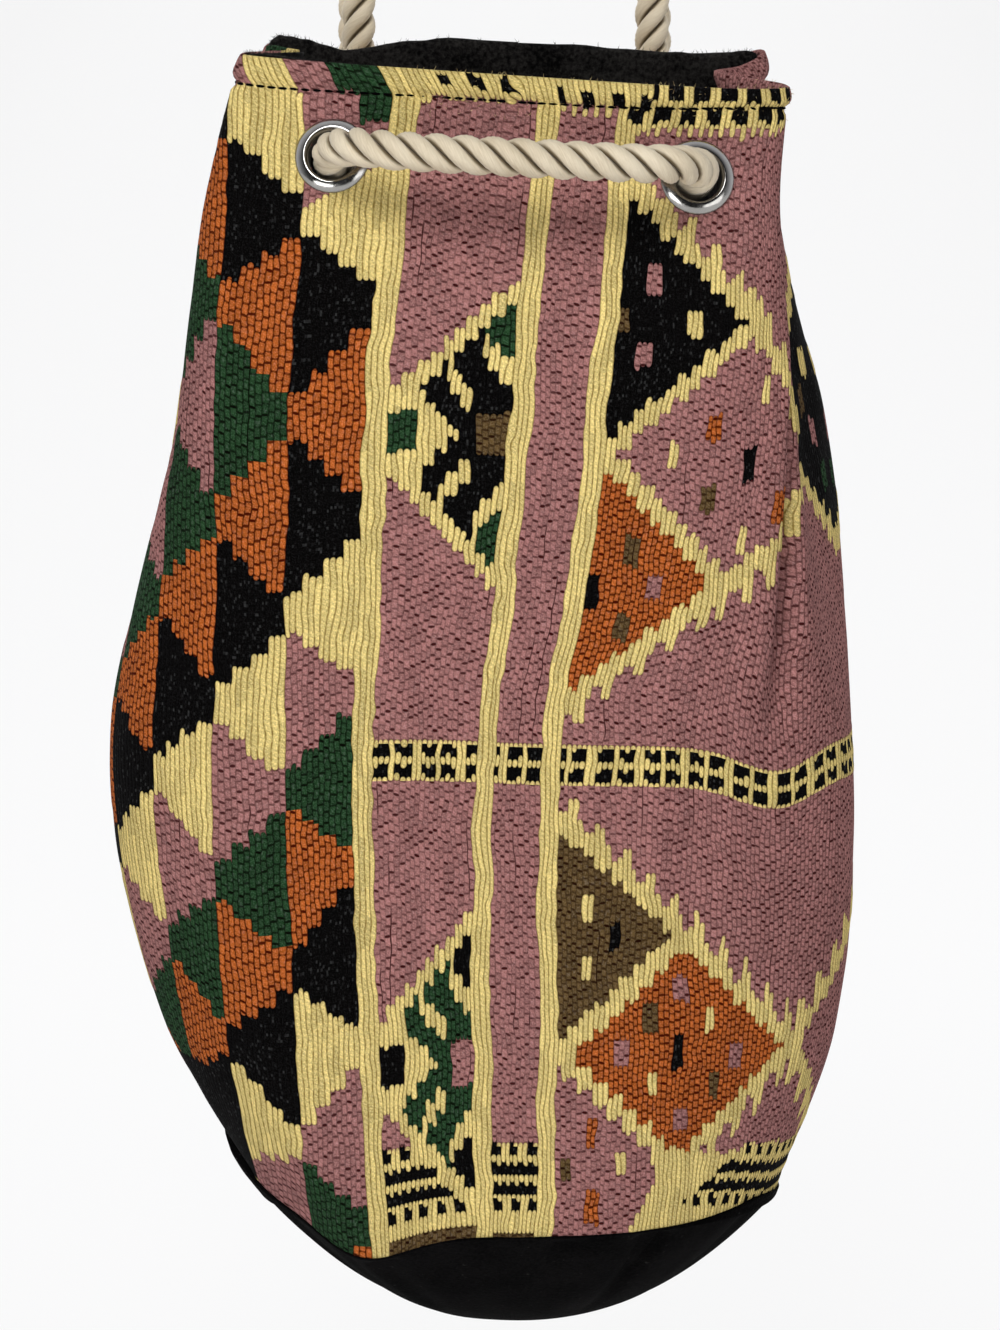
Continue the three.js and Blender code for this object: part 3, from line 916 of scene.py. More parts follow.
    round_side = cloth.maths("SQRT", cloth.maths("SUBTRACT", 1.0, off_middle ** 2.4, clamp=True))
    knuckle = 1.0 - cloth.between(end_mm, 0.8, 0.0) * (dash_mark * 0.5)
    height = (round_side * 0.65 + 0.35) * knuckle * (1.0 - outside * 0.7)
    cloth.relief(height + fibre * 0.28 + ply * 0.2, 0.75, 0.75)
    cloth.dress({"Base Color": colour, "Roughness": 0.95, "Specular IOR Level": 0.02,
                 "Sheen Weight": 0.008, "Sheen Roughness": 0.5})
    return cloth.material


def felt_finish(name, dark, rubbed, nap_mm, sheen):
    """Black felted cloth: a short nap over a fine weave, paler where it is rubbed."""
    felt = Finish(name)
    where = felt.own_place()
    nap = felt.noise(where, 1 / (nap_mm * MM), 4.0, 0.65)
    cloud = felt.noise(where, 38.0)
    lint = felt.between(felt.noise(where, 620.0, 1.0), 0.7, 0.82)
    worn = felt.between(nap * 0.7 + cloud * 0.5, 0.45, 0.78)
    shade = felt.mixed(worn, as_shown(dark), as_shown(rubbed))
    felt.relief(nap + cloud * 0.4, 0.45, 0.8)
    felt.dress({"Base Color": felt.mixed(lint * 0.25, shade, GREY_LINT), "Roughness": 0.95,
                "Specular IOR Level": 0.015, "Sheen Weight": sheen, "Sheen Roughness": 0.55})
    return felt.material


def lint_finish():
    """Pale wool fibre that has worked loose from the hem."""
    lint = Finish("loose_wool")
    shade = lint.between(lint.noise(lint.own_place(), 420.0), 0.35, 0.65)
    lint.dress({"Base Color": lint.mixed(shade, as_shown(WOOL_DULL), as_shown(WOOL_PALE)),
                "Roughness": 0.95})
    return lint.material


def nickel_finish():
    """Polished nickel with hairline scratches and a dull bloom, with painted shade down its throat."""
    metal = Finish("polished_nickel")
    where = metal.own_place()
    scuff = metal.noise(where, 900.0, 3.0, 0.6)
    bloom = metal.noise(where, 160.0)
    # The throat darkens to painted shade down the eyelet's barrel, where the metal turns into the hole
    throat = metal.mark("throat")
    bright = metal.mixed(bloom, NICKEL_DULL, NICKEL_BRIGHT)
    worn = metal.between(scuff + bloom * 0.5, 0.4, 1.1, 0.1, 0.26)
    metal.relief(scuff, 0.03, 0.3)
    metal.dress({"Base Color": metal.mixed(throat, bright, NICKEL_THROAT_SHADE), "Metallic": 1.0,
                 "Roughness": worn + throat * 0.3})
    return metal.material


def rope_finish():
    """Undyed cotton strand: fine yarns twisted against the lay, with a soft nap, and painted shade in the grooves
    between strands.
    """
    rope = Finish("cotton_rope")
    turn, up = rope.own_map()
    slant = turn * 9.0 + up * -0.22
    ply = abs(rope.maths("FRACT", slant) - 0.5)
    fibre = rope.uneven(slant * 3.0, up * 0.35, 3.0, 0.6)
    nap = rope.noise(rope.own_place(), 1500.0)
    cloud = rope.noise(rope.own_place(), 55.0, 1.0)
    tone = rope.between(fibre * 0.6 + cloud * 0.5, 0.3, 0.75)
    cotton = rope.mixed(tone, as_shown(COTTON_DULL), as_shown(COTTON_PALE))
    # Where a strand turns in towards its neighbours, the cotton darkens to painted shade in the grooves
    outward = rope.between(rope.maths("COSINE", turn * (2 * math.pi)), -0.35, 0.18)
    rope.relief(ply * -0.7 + fibre * 0.5 + nap * 0.3, 0.22, 0.6)
    rope.dress({"Base Color": rope.mixed(outward, as_shown(COTTON_GROOVE_SHADE), cotton), "Roughness": 0.9,
                "Specular IOR Level": 0.15, "Sheen Weight": 0.15, "Sheen Roughness": 0.5})
    return rope.material


# The woven pattern, by yarn column c and height h up the cloth. A spot is its first and last
# column and its foot and top.

def in_spot(c, h, left, right, low, high):
    return (c >= left) & (c < right) & (h >= low) & (h < high)


def fill_spots(dye, c, h, colour, *spots):
    for spot in spots:
        dye[in_spot(c, h, *spot)] = colour


def stepped(c, start, stride):
    """Column numbers held over each stride, so that slanting edges climb in steps."""
    return start + stride * (np.floor((c - start) / stride) + 0.5)


def fill_lozenge(dye, c, h, colour, mid_yarn, mid_height, half_yarns, half_height,
                 from_yarn, fingers_up=0.0, fingers_down=0.0):
    """A stepped lozenge with a cream border, and fingers that stand or hang from its right half."""
    slope = half_height / half_yarns
    off_middle = np.where(c < mid_yarn, mid_yarn - stepped(c, mid_yarn, LEFT_STRIDE),
                          stepped(c, mid_yarn, RIGHT_STRIDE) - mid_yarn)
    edge = half_height - slope * off_middle
    reach = np.abs(h - mid_height)
    within = (c >= from_yarn) & (edge > -BORDER / 2)
    dye[within & (reach < edge + BORDER / 2)] = CREAM
    dye[within & (reach < edge - BORDER / 2)] = colour
    from_finger = c - mid_yarn - FINGER_YARNS
    is_finger = within & (np.mod(from_finger, FINGER_SPACING) < FINGER_YARNS) & (from_finger >= 0)
    is_long = reach < edge + BORDER / 2 + np.where(h > mid_height, fingers_up, fingers_down)
    dye[is_finger & is_long & (reach > edge)] = CREAM


def cream_border(dye, c, h, start, end, fingers):
    """A slanting cream line in steps, with fingers every fifth yarn that reach up or down."""
    (c0, h0), (c1, h1) = start, end
    middle = h0 + (h1 - h0) * (stepped(c, c0, RIGHT_STRIDE) - c0) / (c1 - c0)
    within = (c >= c0) & (c < c1)
    dye[within & (np.abs(h - middle) < BORDER / 2)] = CREAM
    is_finger = within & (np.mod(c - c0, FINGER_SPACING) < FINGER_YARNS)
    reach = (h - middle) * np.sign(fingers)
    dye[is_finger & (reach > 0) & (reach < BORDER / 2 + abs(fingers))] = CREAM


def paint_medallion(dye, c, h):
    """Stepped triangles in five dyes, in panels of twelve yarns left of the first stripe."""
    axis, first_band, band, lap = 268.0, 5.5, 28.0, 4.5
    bands, panel, steps = 11, 12, 4
    dyes = np.array([ORANGE, BLACK, CREAM, MAUVE, GREEN])
    number = np.floor(-c / panel).astype(int) + 1
    share = np.mod(c, panel) / panel
    off_axis = np.abs(h - axis)
    count = np.zeros(c.shape, int)
    for i in range(bands):
        inner = first_band + band * i if i else 0.0
        outer = first_band + band * (i + 1)
        from_narrow = np.where((i + number) % 2 == 1, share, 1 - share)
        climb = (np.floor(from_narrow * steps) + 0.5) / steps
        count += off_axis > inner + lap + (outer - inner - 2 * lap) * climb
    area = c < 0
    dye[area] = dyes[(count + 1 - number) % len(dyes)][area]
    fill_spots(dye, c, h, BLACK, (-46, -24, 7, 52))
    is_top = area & (c >= -panel) & (h > 332 + (c + panel) * 1.25)
    dye[is_top] = MAUVE


def paint_half_lozenge(dye, c, h, middle, ground, ends, heart):
    """The comb-filled half lozenge that leans on the second stripe."""
    left, right, foot, waist = 4, 24, 8.7, 18.5
    step = 2 * np.floor((c - left) / 2)
    reach = np.abs(h - middle)
    outline = 15 + 1.9 * step
    area = (c >= left) & (c < right) & (reach < outline)
    tooth = reach + 2 * step
    inside = np.full(c.shape, ground)
    inside[tooth < 22] = CREAM
    inside[(tooth > 32) & (tooth < 40) & (c > 12.5) & (c < waist)] = CREAM
    inside[(tooth > 52) & (tooth < 61) & (c > waist)] = CREAM
    inside[(tooth > 61) & (c > waist)] = ends
    inside[(c > 19) & (reach < 7)] = heart
    inside[c < foot] = CREAM
    inside[(c < foot) & (reach < 6)] = ends
    inside[outline - reach < BORDER - 0.5] = CREAM
    dye[area] = inside[area]


def paint_upper_lattice(dye, c, h):
    """Black, mauve and orange lozenges between stepped cream borders, right of the third stripe."""
    cream_border(dye, c, h, (67, 214), (92, 250), fingers=-FINGER)
    cream_border(dye, c, h, (67, 303), (92, 264), fingers=FINGER)
    fill_spots(dye, c, h, ORANGE, (61, 64, 263, 272), (77, 80, 239, 249))
    fill_spots(dye, c, h, BLACK, (69, 72, 251, 261))
    fill_spots(dye, c, h, OLIVE, (61, 64, 240, 249))
    fill_spots(dye, c, h, CREAM, (54, 56, 253, 262), (70, 72, 227, 236), (72, 74, 275, 284))
    fill_lozenge(dye, c, h, BLACK, 42, 301.5, 27, 44, from_yarn=38, fingers_up=FINGER)
    fill_spots(dye, c, h, MAUVE, (47, 50, 309, 319), (46, 49, 285, 294))
    fill_spots(dye, c, h, CREAM, (55, 58, 296, 305))
    fill_spots(dye, c, h, OLIVE, (41, 44, 298, 306))
    fill_lozenge(dye, c, h, ORANGE, 42, 217, 26, 41, from_yarn=38, fingers_down=FINGER)
    fill_spots(dye, c, h, OLIVE, (48, 51, 222, 231), (48, 51, 198, 206))
    fill_spots(dye, c, h, MAUVE, (53, 56, 212, 218))
    fill_spots(dye, c, h, BLACK, (41.5, 44.5, 209, 219))
    fill_lozenge(dye, c, h, BLACK, 119, 268, 28, 46, from_yarn=86)
    fill_spots(dye, c, h, CREAM, (112.5, 116.5, 278, 287), (103, 106, 262, 271))
    fill_spots(dye, c, h, OLIVE, (108, 111, 267, 276))
    fill_spots(dye, c, h, MAUVE, (112, 115, 256, 265))
    fill_spots(dye, c, h, GREEN, (114, 117, 241, 250))


def paint_lower_lattice(dye, c, h):
    """The olive, orange and mauve lozenges below the check band."""
    dye[(c > 62.5 - 0.3 * np.abs(20 - h)) & (c < 96) & (h < 26)] = CREAM
    fill_spots(dye, c, h, ORANGE, (48, 50, 30, 40), (48.5, 51, 4, 16))
    fill_spots(dye, c, h, CREAM, (54, 56, 20, 28))
    cream_border(dye, c, h, (92, 64), (120, 110), fingers=FINGER)
    cream_border(dye, c, h, (92, 60), (120, 14), fingers=-FINGER)
    fill_lozenge(dye, c, h, OLIVE, 42, 101, 25, 39, from_yarn=38, fingers_up=FINGER)
    fill_spots(dye, c, h, CREAM, (47, 49, 105, 114), (47, 49, 86, 94))
    fill_spots(dye, c, h, BLACK, (52, 54.5, 97, 105))
    fill_lozenge(dye, c, h, ORANGE, 67.5, 61.5, 24.5, 39, from_yarn=42, fingers_up=FINGER,
                 fingers_down=FINGER)
    fill_spots(dye, c, h, BLACK, (65, 67, 56, 67))
    fill_spots(dye, c, h, MAUVE, (65, 68, 79, 87), (53, 56, 58, 66), (77, 80, 56, 64), (66, 69, 35, 42))
    fill_spots(dye, c, h, OLIVE, (59.5, 62, 69, 78), (73, 75.5, 45, 54))
    fill_spots(dye, c, h, CREAM, (71, 73, 68, 77), (60, 62, 47, 56))


def paint_bands(dye, c, h):
    """The check band across the belly and the banded foot, in whole picks."""
    pick = np.floor((h - BELLY_BAND) / PICK)
    band = (c >= 0) & (pick >= 0) & (pick < 10)
    dye[band] = CREAM
    place = np.mod(c - 4, 4.5)
    rows = ((pick >= 1) & (pick < 4)) | ((pick >= 6) & (pick < 9))
    is_tooth = np.isin(pick, (1, 3, 6, 8)) & (np.mod(3 * np.floor(c) + pick, 5) < 1)
    dye[band & rows & (place < 3) & ~is_tooth] = BLACK

    turned_down = 9.0 * np.clip((c - 66) / 34, 0, 1)
    pick = np.floor((h + turned_down) / PICK)
    foot = (pick < 24) & (((c >= 4) & (c < 38)) | (c > 62 + 0.8 * h))
    dye[foot] = CREAM
    is_dash = (np.mod(c, 4) < 2) & np.isin(pick, (7, 8, 21, 22))
    is_dash_tip = (np.mod(c, 4) < 1) & np.isin(pick, (9, 23))
    is_line = np.isin(pick, (11, 12, 16, 17))
    is_comb = np.isin(pick, (13, 18)) & (np.mod(c, 2) < 1)
    dye[foot & (is_dash | is_dash_tip | is_line | is_comb)] = BLACK
    fill_spots(dye, c, h, OLIVE, (4, 24, BELOW_SEAM, 5), (28, 38, BELOW_SEAM, 2), (43, 45, 20, 27))


def paint_hem(dye, c, h):
    """Above the mouth's eyelets: checks on the right, plain panels on the left."""
    hem = (h > HEM_FOOT) & (c >= 4) & (c < 74)
    dye[hem] = CREAM
    place = np.mod(c - 2, 5)
    rising = HEM_FOOT + np.interp(c, (6, 24), (5.2, 2.6))
    is_high = (h > rising) & (h < HEM_FOOT + 8) & (np.mod(c - 4, 5) < 2)
    dye[hem & (c > 6) & (c < 24) & is_high] = BLACK
    dye[hem & (c > 28) & (c < 44) & (h < HEM_FOOT + 4.5) & (place < 2)] = BLACK
    dye[hem & (c >= 44) & (h > HEM_FOOT + 2.8) & (place < 3)] = BLACK
    fringe = (c >= 28) & (c < 74) & (h <= HEM_FOOT)
    is_yarn = np.mod(c, 2) < 1
    dye[fringe & is_yarn & (h > HEM_FOOT - np.where(c < 38, 3.5, 9))] = CREAM
    dye[fringe & (c >= 40) & (h > HEM_FOOT - 6.8)] = CREAM
    dye[fringe & (c >= 40) & (h > HEM_FOOT - 4.5) & (np.mod(c, 5) < 3)] = BLACK
    fill_spots(dye, c, h, CREAM, (-24, -12, 350, HEM_FOOT))
    fill_spots(dye, c, h, MAUVE, (-60, 0, HEM_FOOT, ABOVE_HEM))
    fill_spots(dye, c, h, CREAM, (-20, -13, HEM_FOOT, ABOVE_HEM), (0, 6, HEM_FOOT - 2, ABOVE_HEM),
               (-39, -30, 362, ABOVE_HEM))
    fill_spots(dye, c, h, GREEN, (-7, 0, HEM_FOOT, ABOVE_HEM), (-4, 0, 358, HEM_FOOT),
               (-48, -39, 362, ABOVE_HEM))


def woven_dyes(column, height):
    """The dye of every yarn at every pick. The back repeats the front's motifs, mirrored."""
    ragged = np.random.default_rng(RAGGED_SEED).uniform(-1, 1, YARNS + 1)
    h = height + RAGGED_ENDS * ragged[(column - FIRST_YARN).astype(int)]
    c = np.where(column < LEFT_MIRROR, 2 * LEFT_MIRROR - column,
                 np.where(column > RIGHT_MIRROR, 2 * RIGHT_MIRROR - column, column))
    dye = np.full(c.shape, MAUVE)
    paint_upper_lattice(dye, c, h)
    paint_lower_lattice(dye, c, h)
    paint_half_lozenge(dye, c, h, 262, BLACK, GREEN, OLIVE)
    paint_bands(dye, c, height)
    paint_half_lozenge(dye, c, h, 59, GREEN, BLACK, MAUVE)
    for left, right in STRIPES:
        fill_spots(dye, c, h, CREAM, (left, right, BELOW_SEAM, STRIPE_TOP))
    paint_medallion(dye, c, h)
    paint_hem(dye, c, h)
    return dye


def float_ends(dye):
    """Which end of its pick a yarn's float ends in, and the dye that it ends on."""
    above = np.vstack([dye[1:], dye[-1:]])
    below = np.vstack([dye[:1], dye[:-1]])
    ends_above = LIES_OVER[dye] > LIES_OVER[above]
    ends_below = ~ends_above & (LIES_OVER[dye] > LIES_OVER[below])
    beyond = np.where(ends_above, above, np.where(ends_below, below, dye))
    return ends_above * 1.0 - ends_below * 1.0, beyond


# Cloth pieces

def yarn_angles(heights):
    """The angle of every yarn's edge at each height, with the stripes held on their guides."""
    turn = np.linspace(-math.pi, math.pi, 1081)
    yarns = np.arange(FIRST_YARN, LAST_YARN + 1)
    inner = (yarns > FIRST_YARN) & (yarns < LAST_YARN)
    first_cell = 500.0
    laid = []
    for height in heights:
        line = wall_point(turn, height, 0)
        run = run_along(line)
        front = np.flatnonzero(np.abs(turn) < FRONT_REACH)
        x = line[front, 0]
        seen = front[np.argmin(x):np.argmax(x) + 1]
        guides = {FIRST_YARN: 0, LAST_YARN: run[-1]}
        for yarn, across in GUIDE_YARN.items():
            guides[yarn] = np.interp(smooth_through(GUIDE_HEIGHT, across, height), line[seen, 0], run[seen])
        guides[LEFT_TURN_YARN] = guides[LEFT_GUIDE] - LEFT_TURN_RUN
        guides[RIGHT_TURN_YARN] = guides[RIGHT_GUIDE] + RIGHT_TURN_RUN
        order = sorted(guides)
        place = np.interp(yarns, order, [guides[yarn] for yarn in order])
        lean = HEM_LEAN * max(0.0, height - HEM_FOOT) * np.interp(yarns, LEAN_YARNS, LEAN_SHARE)
        level = np.full(len(yarns), height)
        wave = (soft_noise(yarns + first_cell, level, *YARN_WAVE)
                + soft_noise(yarns + first_cell, level, *YARN_QUIVER))
        laid.append(np.interp(place + inner * (wave - lean), run, turn))
    return np.array(laid)


def press_under_eyelets(points):
    """Lays the cloth flat under each eyelet's flange and draws it in softly around it."""
    fade_from, fade = PRESS_FADE
    for place, out in SEATS.values():
        off = points - place
        depth = off @ out
        radius = np.linalg.norm(off - depth[:, None] * out, axis=1)
        near = (radius < PRESS_REACH) & (np.abs(depth) < SEAT_DEPTH)
        hold = np.clip((fade_from - radius) / fade, 0, 1)
        hold = hold * hold * (3 - 2 * hold)
        lower = np.minimum(depth, -UNDER_FLANGE)
        points[near] -= ((depth - lower) * hold)[near, None] * out
    return points


def wall_rows():
    """Height and inset of each row: turned in at the seam, up the outside, and over the hem."""
    up = FIRST_PICK + PICK * np.arange(PICKS)
    swelling = HEM_SWELL * np.sin(np.pi * share_of(up, HEM_FOOT, HEM_HEIGHT) ** HEM_ROUND)
    groove = swell(up, STITCH_GROOVE, HEM_FOOT, GROOVE_SPREAD)
    turned_hem = [(BODY_HEIGHT - down, inset) for down, inset in TURNED_HEM]
    return np.array(TURNED_SEAM + list(zip(up, groove - swelling)) + turned_hem)


def mark_yarns(wall, rows, column, dye):
    """Puts the wall's map in yarns and millimetres, and marks its faces with how their yarns lie."""
    uv = read_map(wall) * (YARNS, len(rows) - 1)
    cell = np.floor(uv.reshape(-1, 4, 2).mean(1)).astype(int)
    at = (cell[:, 1], cell[:, 0])
    uv[:, 1] = rows[np.rint(uv[:, 1]).astype(int), 0]
    write_map(wall, uv)

    tip, beyond = float_ends(dye)
    is_fat = (dye == ORANGE) & (column < 0)
    # Mauve's grooves take more painted shade towards the sides, where the cloth turns away
    mauve_groove_shade = np.interp(column, MAUVE_GROOVE_SHADE_YARN, MAUVE_GROOVE_SHADE)
    marks = {
        "brick": np.where(is_fat, FAT_BRICK, BRICK[dye]),
        "dash": DASH[dye],
        "groove": np.where(dye == MAUVE, mauve_groove_shade, GROOVE[dye]),
        "tip": tip,
    }
    for name, value in marks.items():
        mark = wall.data.attributes.new(name, "FLOAT", "FACE")
        mark.data.foreach_set("value", value[at].astype(np.float32))
    colours = np.array([as_shown(DYE_SRGB[i]) for i in range(len(DYE_SRGB))])
    for name, value in (("dye", dye), ("beyond", beyond)):
        mark = wall.data.attributes.new(name, "FLOAT_COLOR", "FACE")
        mark.data.foreach_set("color", colours[value[at]].astype(np.float32).ravel())


def make_woven_wall(finish):
    """The patterned cloth, one column of faces for each yarn and one row for each pick."""
    rows = wall_rows()
    angles = yarn_angles(rows[:, 0])
    columns = np.arange(FIRST_YARN, LAST_YARN) + 0.5
    column, level = np.meshgrid(columns, (rows[1:, 0] + rows[:-1, 0]) / 2)
    dye = woven_dyes(column, level)
    pile = np.pad(PILE[dye], 1, mode="edge")
    pile = (pile[1:, 1:] + pile[1:, :-1] + pile[:-1, 1:] + pile[:-1, :-1]) / 4

    def place(yarn, row):
        yarn, row = np.rint(yarn).astype(int), np.rint(row).astype(int)
        height, inset = rows[row].T
        sag = swell(yarn + FIRST_YARN, *SAG_BY_YARN) * swell(height, *SAG_BY_HEIGHT)
        slump = soft_noise(yarn * YARN_WIDTH, height, *WALL_SLUMP) * np.sin(np.pi * height / BODY_HEIGHT)
        lumps = soft_noise(yarn * YARN_WIDTH, height, *WALL_LUMPS)
        nap = pile[row, yarn] * np.clip(np.abs(height - HEM_FOOT) / GROOVE_CLEAR, 0, 1)
        is_seam = (yarn == 0) | (yarn == YARNS)
        inset = inset - np.where(is_seam, 0, slump + lumps + nap)
        return press_under_eyelets(hung_point(angles[row, yarn], height - sag, inset))

    cloth = laid_cloth(YARNS, len(rows) - 1, place)
    close_tube(cloth)
    cut_eyelet_holes(cloth, EYELET_HOLE / 2 + EYELET_METAL)
    wall = finished_piece("woven_cloth_wall", cloth, finish, "woven_cloth", "woven_wall")
    mark_yarns(wall, rows, column, dye)
    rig.sheet(wall, flat=(0.63, 0.4), held="gathered", rests_on=["rope"])
    return wall


def make_lining(finish):
    """The black lining: soft folds inside, rolled over the hem at the back."""
    columns, rows = LINING_GRID

    def place(turn, row):
        angle = angle_of(turn, columns)
        share = row / rows
        right, front = sideways_at_hem(angle)
        at_back = share_of(-front, 0.5, 0.45) * np.clip((0.93 - right) / 0.12, 0, 1)
        tuft = soft_noise(angle * 60 + 400, share * 9, *LINING_TUFT)
        top = LINING_RIM + (LINING_BACK_RISE + tuft) * at_back
        top = top + swell(angle, *LINING_PEEK) - swell(angle, *LINING_TUCKED)
        height = LINING_FOOT + (top - LINING_FOOT) * np.minimum(share / ROLL_FROM, 1)
        roll = share_of(share, ROLL_FROM, 1 - ROLL_FROM) * ROLL_TURN
        radius = ROLL_RADIUS + ROLL_BACK_SWELL * at_back
        height = height + radius * np.sin(roll)
        fine_folds = 0.7 * np.sin(angle * 23 + 2.2 * np.sin(height / 37))
        broad_folds = 0.8 * np.sin(angle * 9 + height / 50)
        fold = (fine_folds + broad_folds + 1.5) * np.clip((BODY_HEIGHT - height) / 40, 0.2, 1.3)
        return hung_point(angle, height, LINING_INSET + CLEAR + fold - radius * (1 - np.cos(roll)))

    cloth = laid_cloth(columns, rows, place)
    close_tube(cloth)
    cut_eyelet_holes(cloth, EYELET_HOLE / 2 + LINING_HOLE_CLEAR)
    bmesh.ops.reverse_faces(cloth, faces=cloth.faces[:])
    lining = finished_piece("black_lining", cloth, finish, "lining_cloth", "lining_tube")
    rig.sheet(lining, flat=(0.62, 0.39), held="gathered", rests_on=["woven_cloth_wall"])
    return lining


def make_base(finish):
    """The round black base, puckered where the wall is gathered onto it and drawn up at the left."""
    columns, rows = BASE_GRID
    disc_rows = rows - LAP_ROWS

    def place(turn, row):
        angle = angle_of(turn, columns)
        reach = np.sin(np.clip(row / disc_rows, 0, 1) * np.pi / 2)
        gathers = sum(swell(angle, depth, at, GATHER_SPREAD) for depth, at in BASE_GATHERS)
        pucker = soft_noise(angle * 40 + 400, reach * 20, *BASE_PUCKER)
        near_seam = share_of(reach, 0.45, 0.5) * np.clip((1 - reach) * 30, 0, 1)
        disc = base_point(angle, reach, (pucker + gathers) * near_seam - 0.1)
        lap = LAP + swell(angle, *LAP_LEFT) + swell(angle, *LAP_RIGHT)
        share = (row - disc_rows) / LAP_ROWS
        bulge = swell(angle, *LAP_BULGE) * np.sin(np.pi * np.clip(share, 0, 1))
        off_wall = -LAP_OFF_WALL - np.clip(lap / LAP_SLOPE, 0, 1)
        inset = np.where(share > 0.9, 0.9, off_wall) - bulge
        lapped = hung_point(angle, lap * np.clip(share / 0.8, 0, 1), inset)
        return np.where((share > 0)[:, None], lapped, disc)

    cloth = laid_cloth(columns, rows, place)
    close_and_face_out(cloth)
    base = finished_piece("black_base", cloth, finish, "base_cloth", "base_panel")
    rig.sheet(base, flat=(0.2, 0.2), held="stretched", area=0.0314, rests_on=["woven_cloth_wall"])


def make_lining_bottom(finish):
    """The round bottom of the lining, on the base, with its face up."""
    columns, rows = BASE_GRID

    def place(turn, row):
        angle = angle_of(turn, columns)
        reach = np.sin(row / rows * np.pi / 2) * BOTTOM_REACH
        crumple = soft_noise(angle * 40 + 400, reach * 40, *BOTTOM_CRUMPLE)
        return base_point(angle, reach, BOTTOM_LIFT + crumple)

    cloth = laid_cloth(columns, rows, place)
    close_and_face_out(cloth)
    bmesh.ops.reverse_faces(cloth, faces=cloth.faces[:])
    bottom = finished_piece("lining_bottom", cloth, finish, "lining_cloth", "lining_base")
    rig.sheet(bottom, flat=(0.2, 0.2), held="laid", area=0.0314, rests_on=["black_base"])


def make_hem_stitches(finish):
    """A run of dark stitches in the groove below the hem."""
    turn = np.linspace(-math.pi, math.pi, 721)
    run = run_along(hung_point(turn, HEM_FOOT, STITCH_LINE))
    thread = Matrix.Diagonal([half * MM for half in STITCH_HALF_SIZE] + [1])
    stitches = bmesh.new()
    for start in np.arange(0, run[-1] - STITCH_SPACING, STITCH_SPACING):
        ends = np.interp([start + 0.5 * STITCH_SPACING, start + 0.6 * STITCH_SPACING], run, turn)
        here, there = in_row_frame(hung_point(ends, HEM_FOOT, STITCH_SEAT))
        lie = Matrix.Translation(here) @ pointing(there - here, "X", "Z")
        bmesh.ops.create_uvsphere(stitches, u_segments=6, v_segments=5, radius=1, matrix=lie @ thread)
    finished_piece("hem_stitches", stitches, finish, "base_cloth")


def make_lint(name, cloth, finish, slot, count, seed, is_fuzzy):
    """Short loose fibres that stand off the places of a cloth that are rubbed fuzzy."""
    draws = np.random.default_rng(seed)
    roots = [corner for corner in cloth.data.vertices if is_fuzzy(corner.co)]
    lint = bmesh.new()
    for pick in draws.integers(0, len(roots), count):
        out = (roots[pick].normal + Vector(draws.normal(0, LINT_TANGLE, 3))).normalized()
        length = draws.uniform(*LINT_LENGTH) * MM
        stand = Matrix.Translation(roots[pick].co + out * length * LINT_ROOTED)
        bmesh.ops.create_cone(lint, segments=3, radius1=LINT_THICKNESS / 2 * MM,
                              radius2=LINT_THICKNESS / 8 * MM, depth=length, matrix=stand @ pointing(out))
    finished_piece(name, lint, finish, slot)


# Eyelets, washers, rope and knots

def turned_ring(outline, place, out, sides):
    """A profile of radius and rise, turned about an eyelet's axis and seated on the wall."""
    ring = bmesh.new()
    corners = [ring.verts.new((radius * MM, 0, rise * MM)) for radius, rise in outline]
    edges = [ring.edges.new(pair) for pair in zip(corners, corners[1:] + corners[:1])]
    bmesh.ops.spin(ring, geom=corners + edges, cent=(0, 0, 0), axis=(0, 0, 1), angle=2 * math.pi,
                   steps=sides, use_merge=True)
    close_and_face_out(ring)
    # The throat mark grows from the flange down into the barrel and covers the washers, which the nickel finish
    # darkens with painted shade
    throat = ring.verts.layers.float.new("throat")
    for corner in ring.verts:
        corner[throat] = min(max(0.5 - corner.co.z / (THROAT_FADE * MM), 0.0), 1.0)
    seat = Matrix.Translation(in_row_frame(place)) @ pointing(out)
    bmesh.ops.transform(ring, matrix=seat, verts=ring.verts[:])
    return ring


def make_eyelets(finish):
    """Six domed eyelets, flared behind the lining, each with its flat washer."""
    hole, flange, flare, washer = (
        size / 2 for size in (EYELET_HOLE, EYELET_FLANGE, EYELET_FLARE, WASHER_DIAMETER))
    barrel = hole + EYELET_METAL
    washer_back = WASHER_FACE - EYELET_METAL
    flare_top = washer_back - CLEAR
    flare_foot = flare_top - EYELET_METAL
    crown = [(flange - (flange - hole) * share, EYELET_CROWN * rise) for share, rise in EYELET_DOME]
    lip = [(hole, -LIP_DROP), (hole, flare_top), (barrel, flare_foot), (flare, flare_foot),
           (flare, flare_top), (barrel, flare_top), (barrel, 0.0), (flange - FLANGE_SEAT, 0.0),
           (flange, FLANGE_EDGE)]
    plate = [(washer, washer_back + WASHER_EDGE), (washer, WASHER_FACE - WASHER_EDGE),
             (washer - WASHER_ROUND, WASHER_FACE), (barrel + CLEAR, WASHER_FACE),
             (barrel + CLEAR, washer_back), (washer - WASHER_ROUND, washer_back)]
    for name, (place, out) in SEATS.items():
        ring = turned_ring(crown + lip, place, out, EYELET_SIDES)
        finished_piece(f"nickel_eyelet_{name}", ring, finish, "nickel", f"eyelet_{name}")
        ring = turned_ring(plate, place, out, WASHER_SIDES)
        finished_piece(f"nickel_washer_{name}", ring, finish, "nickel", f"washer_{name}")


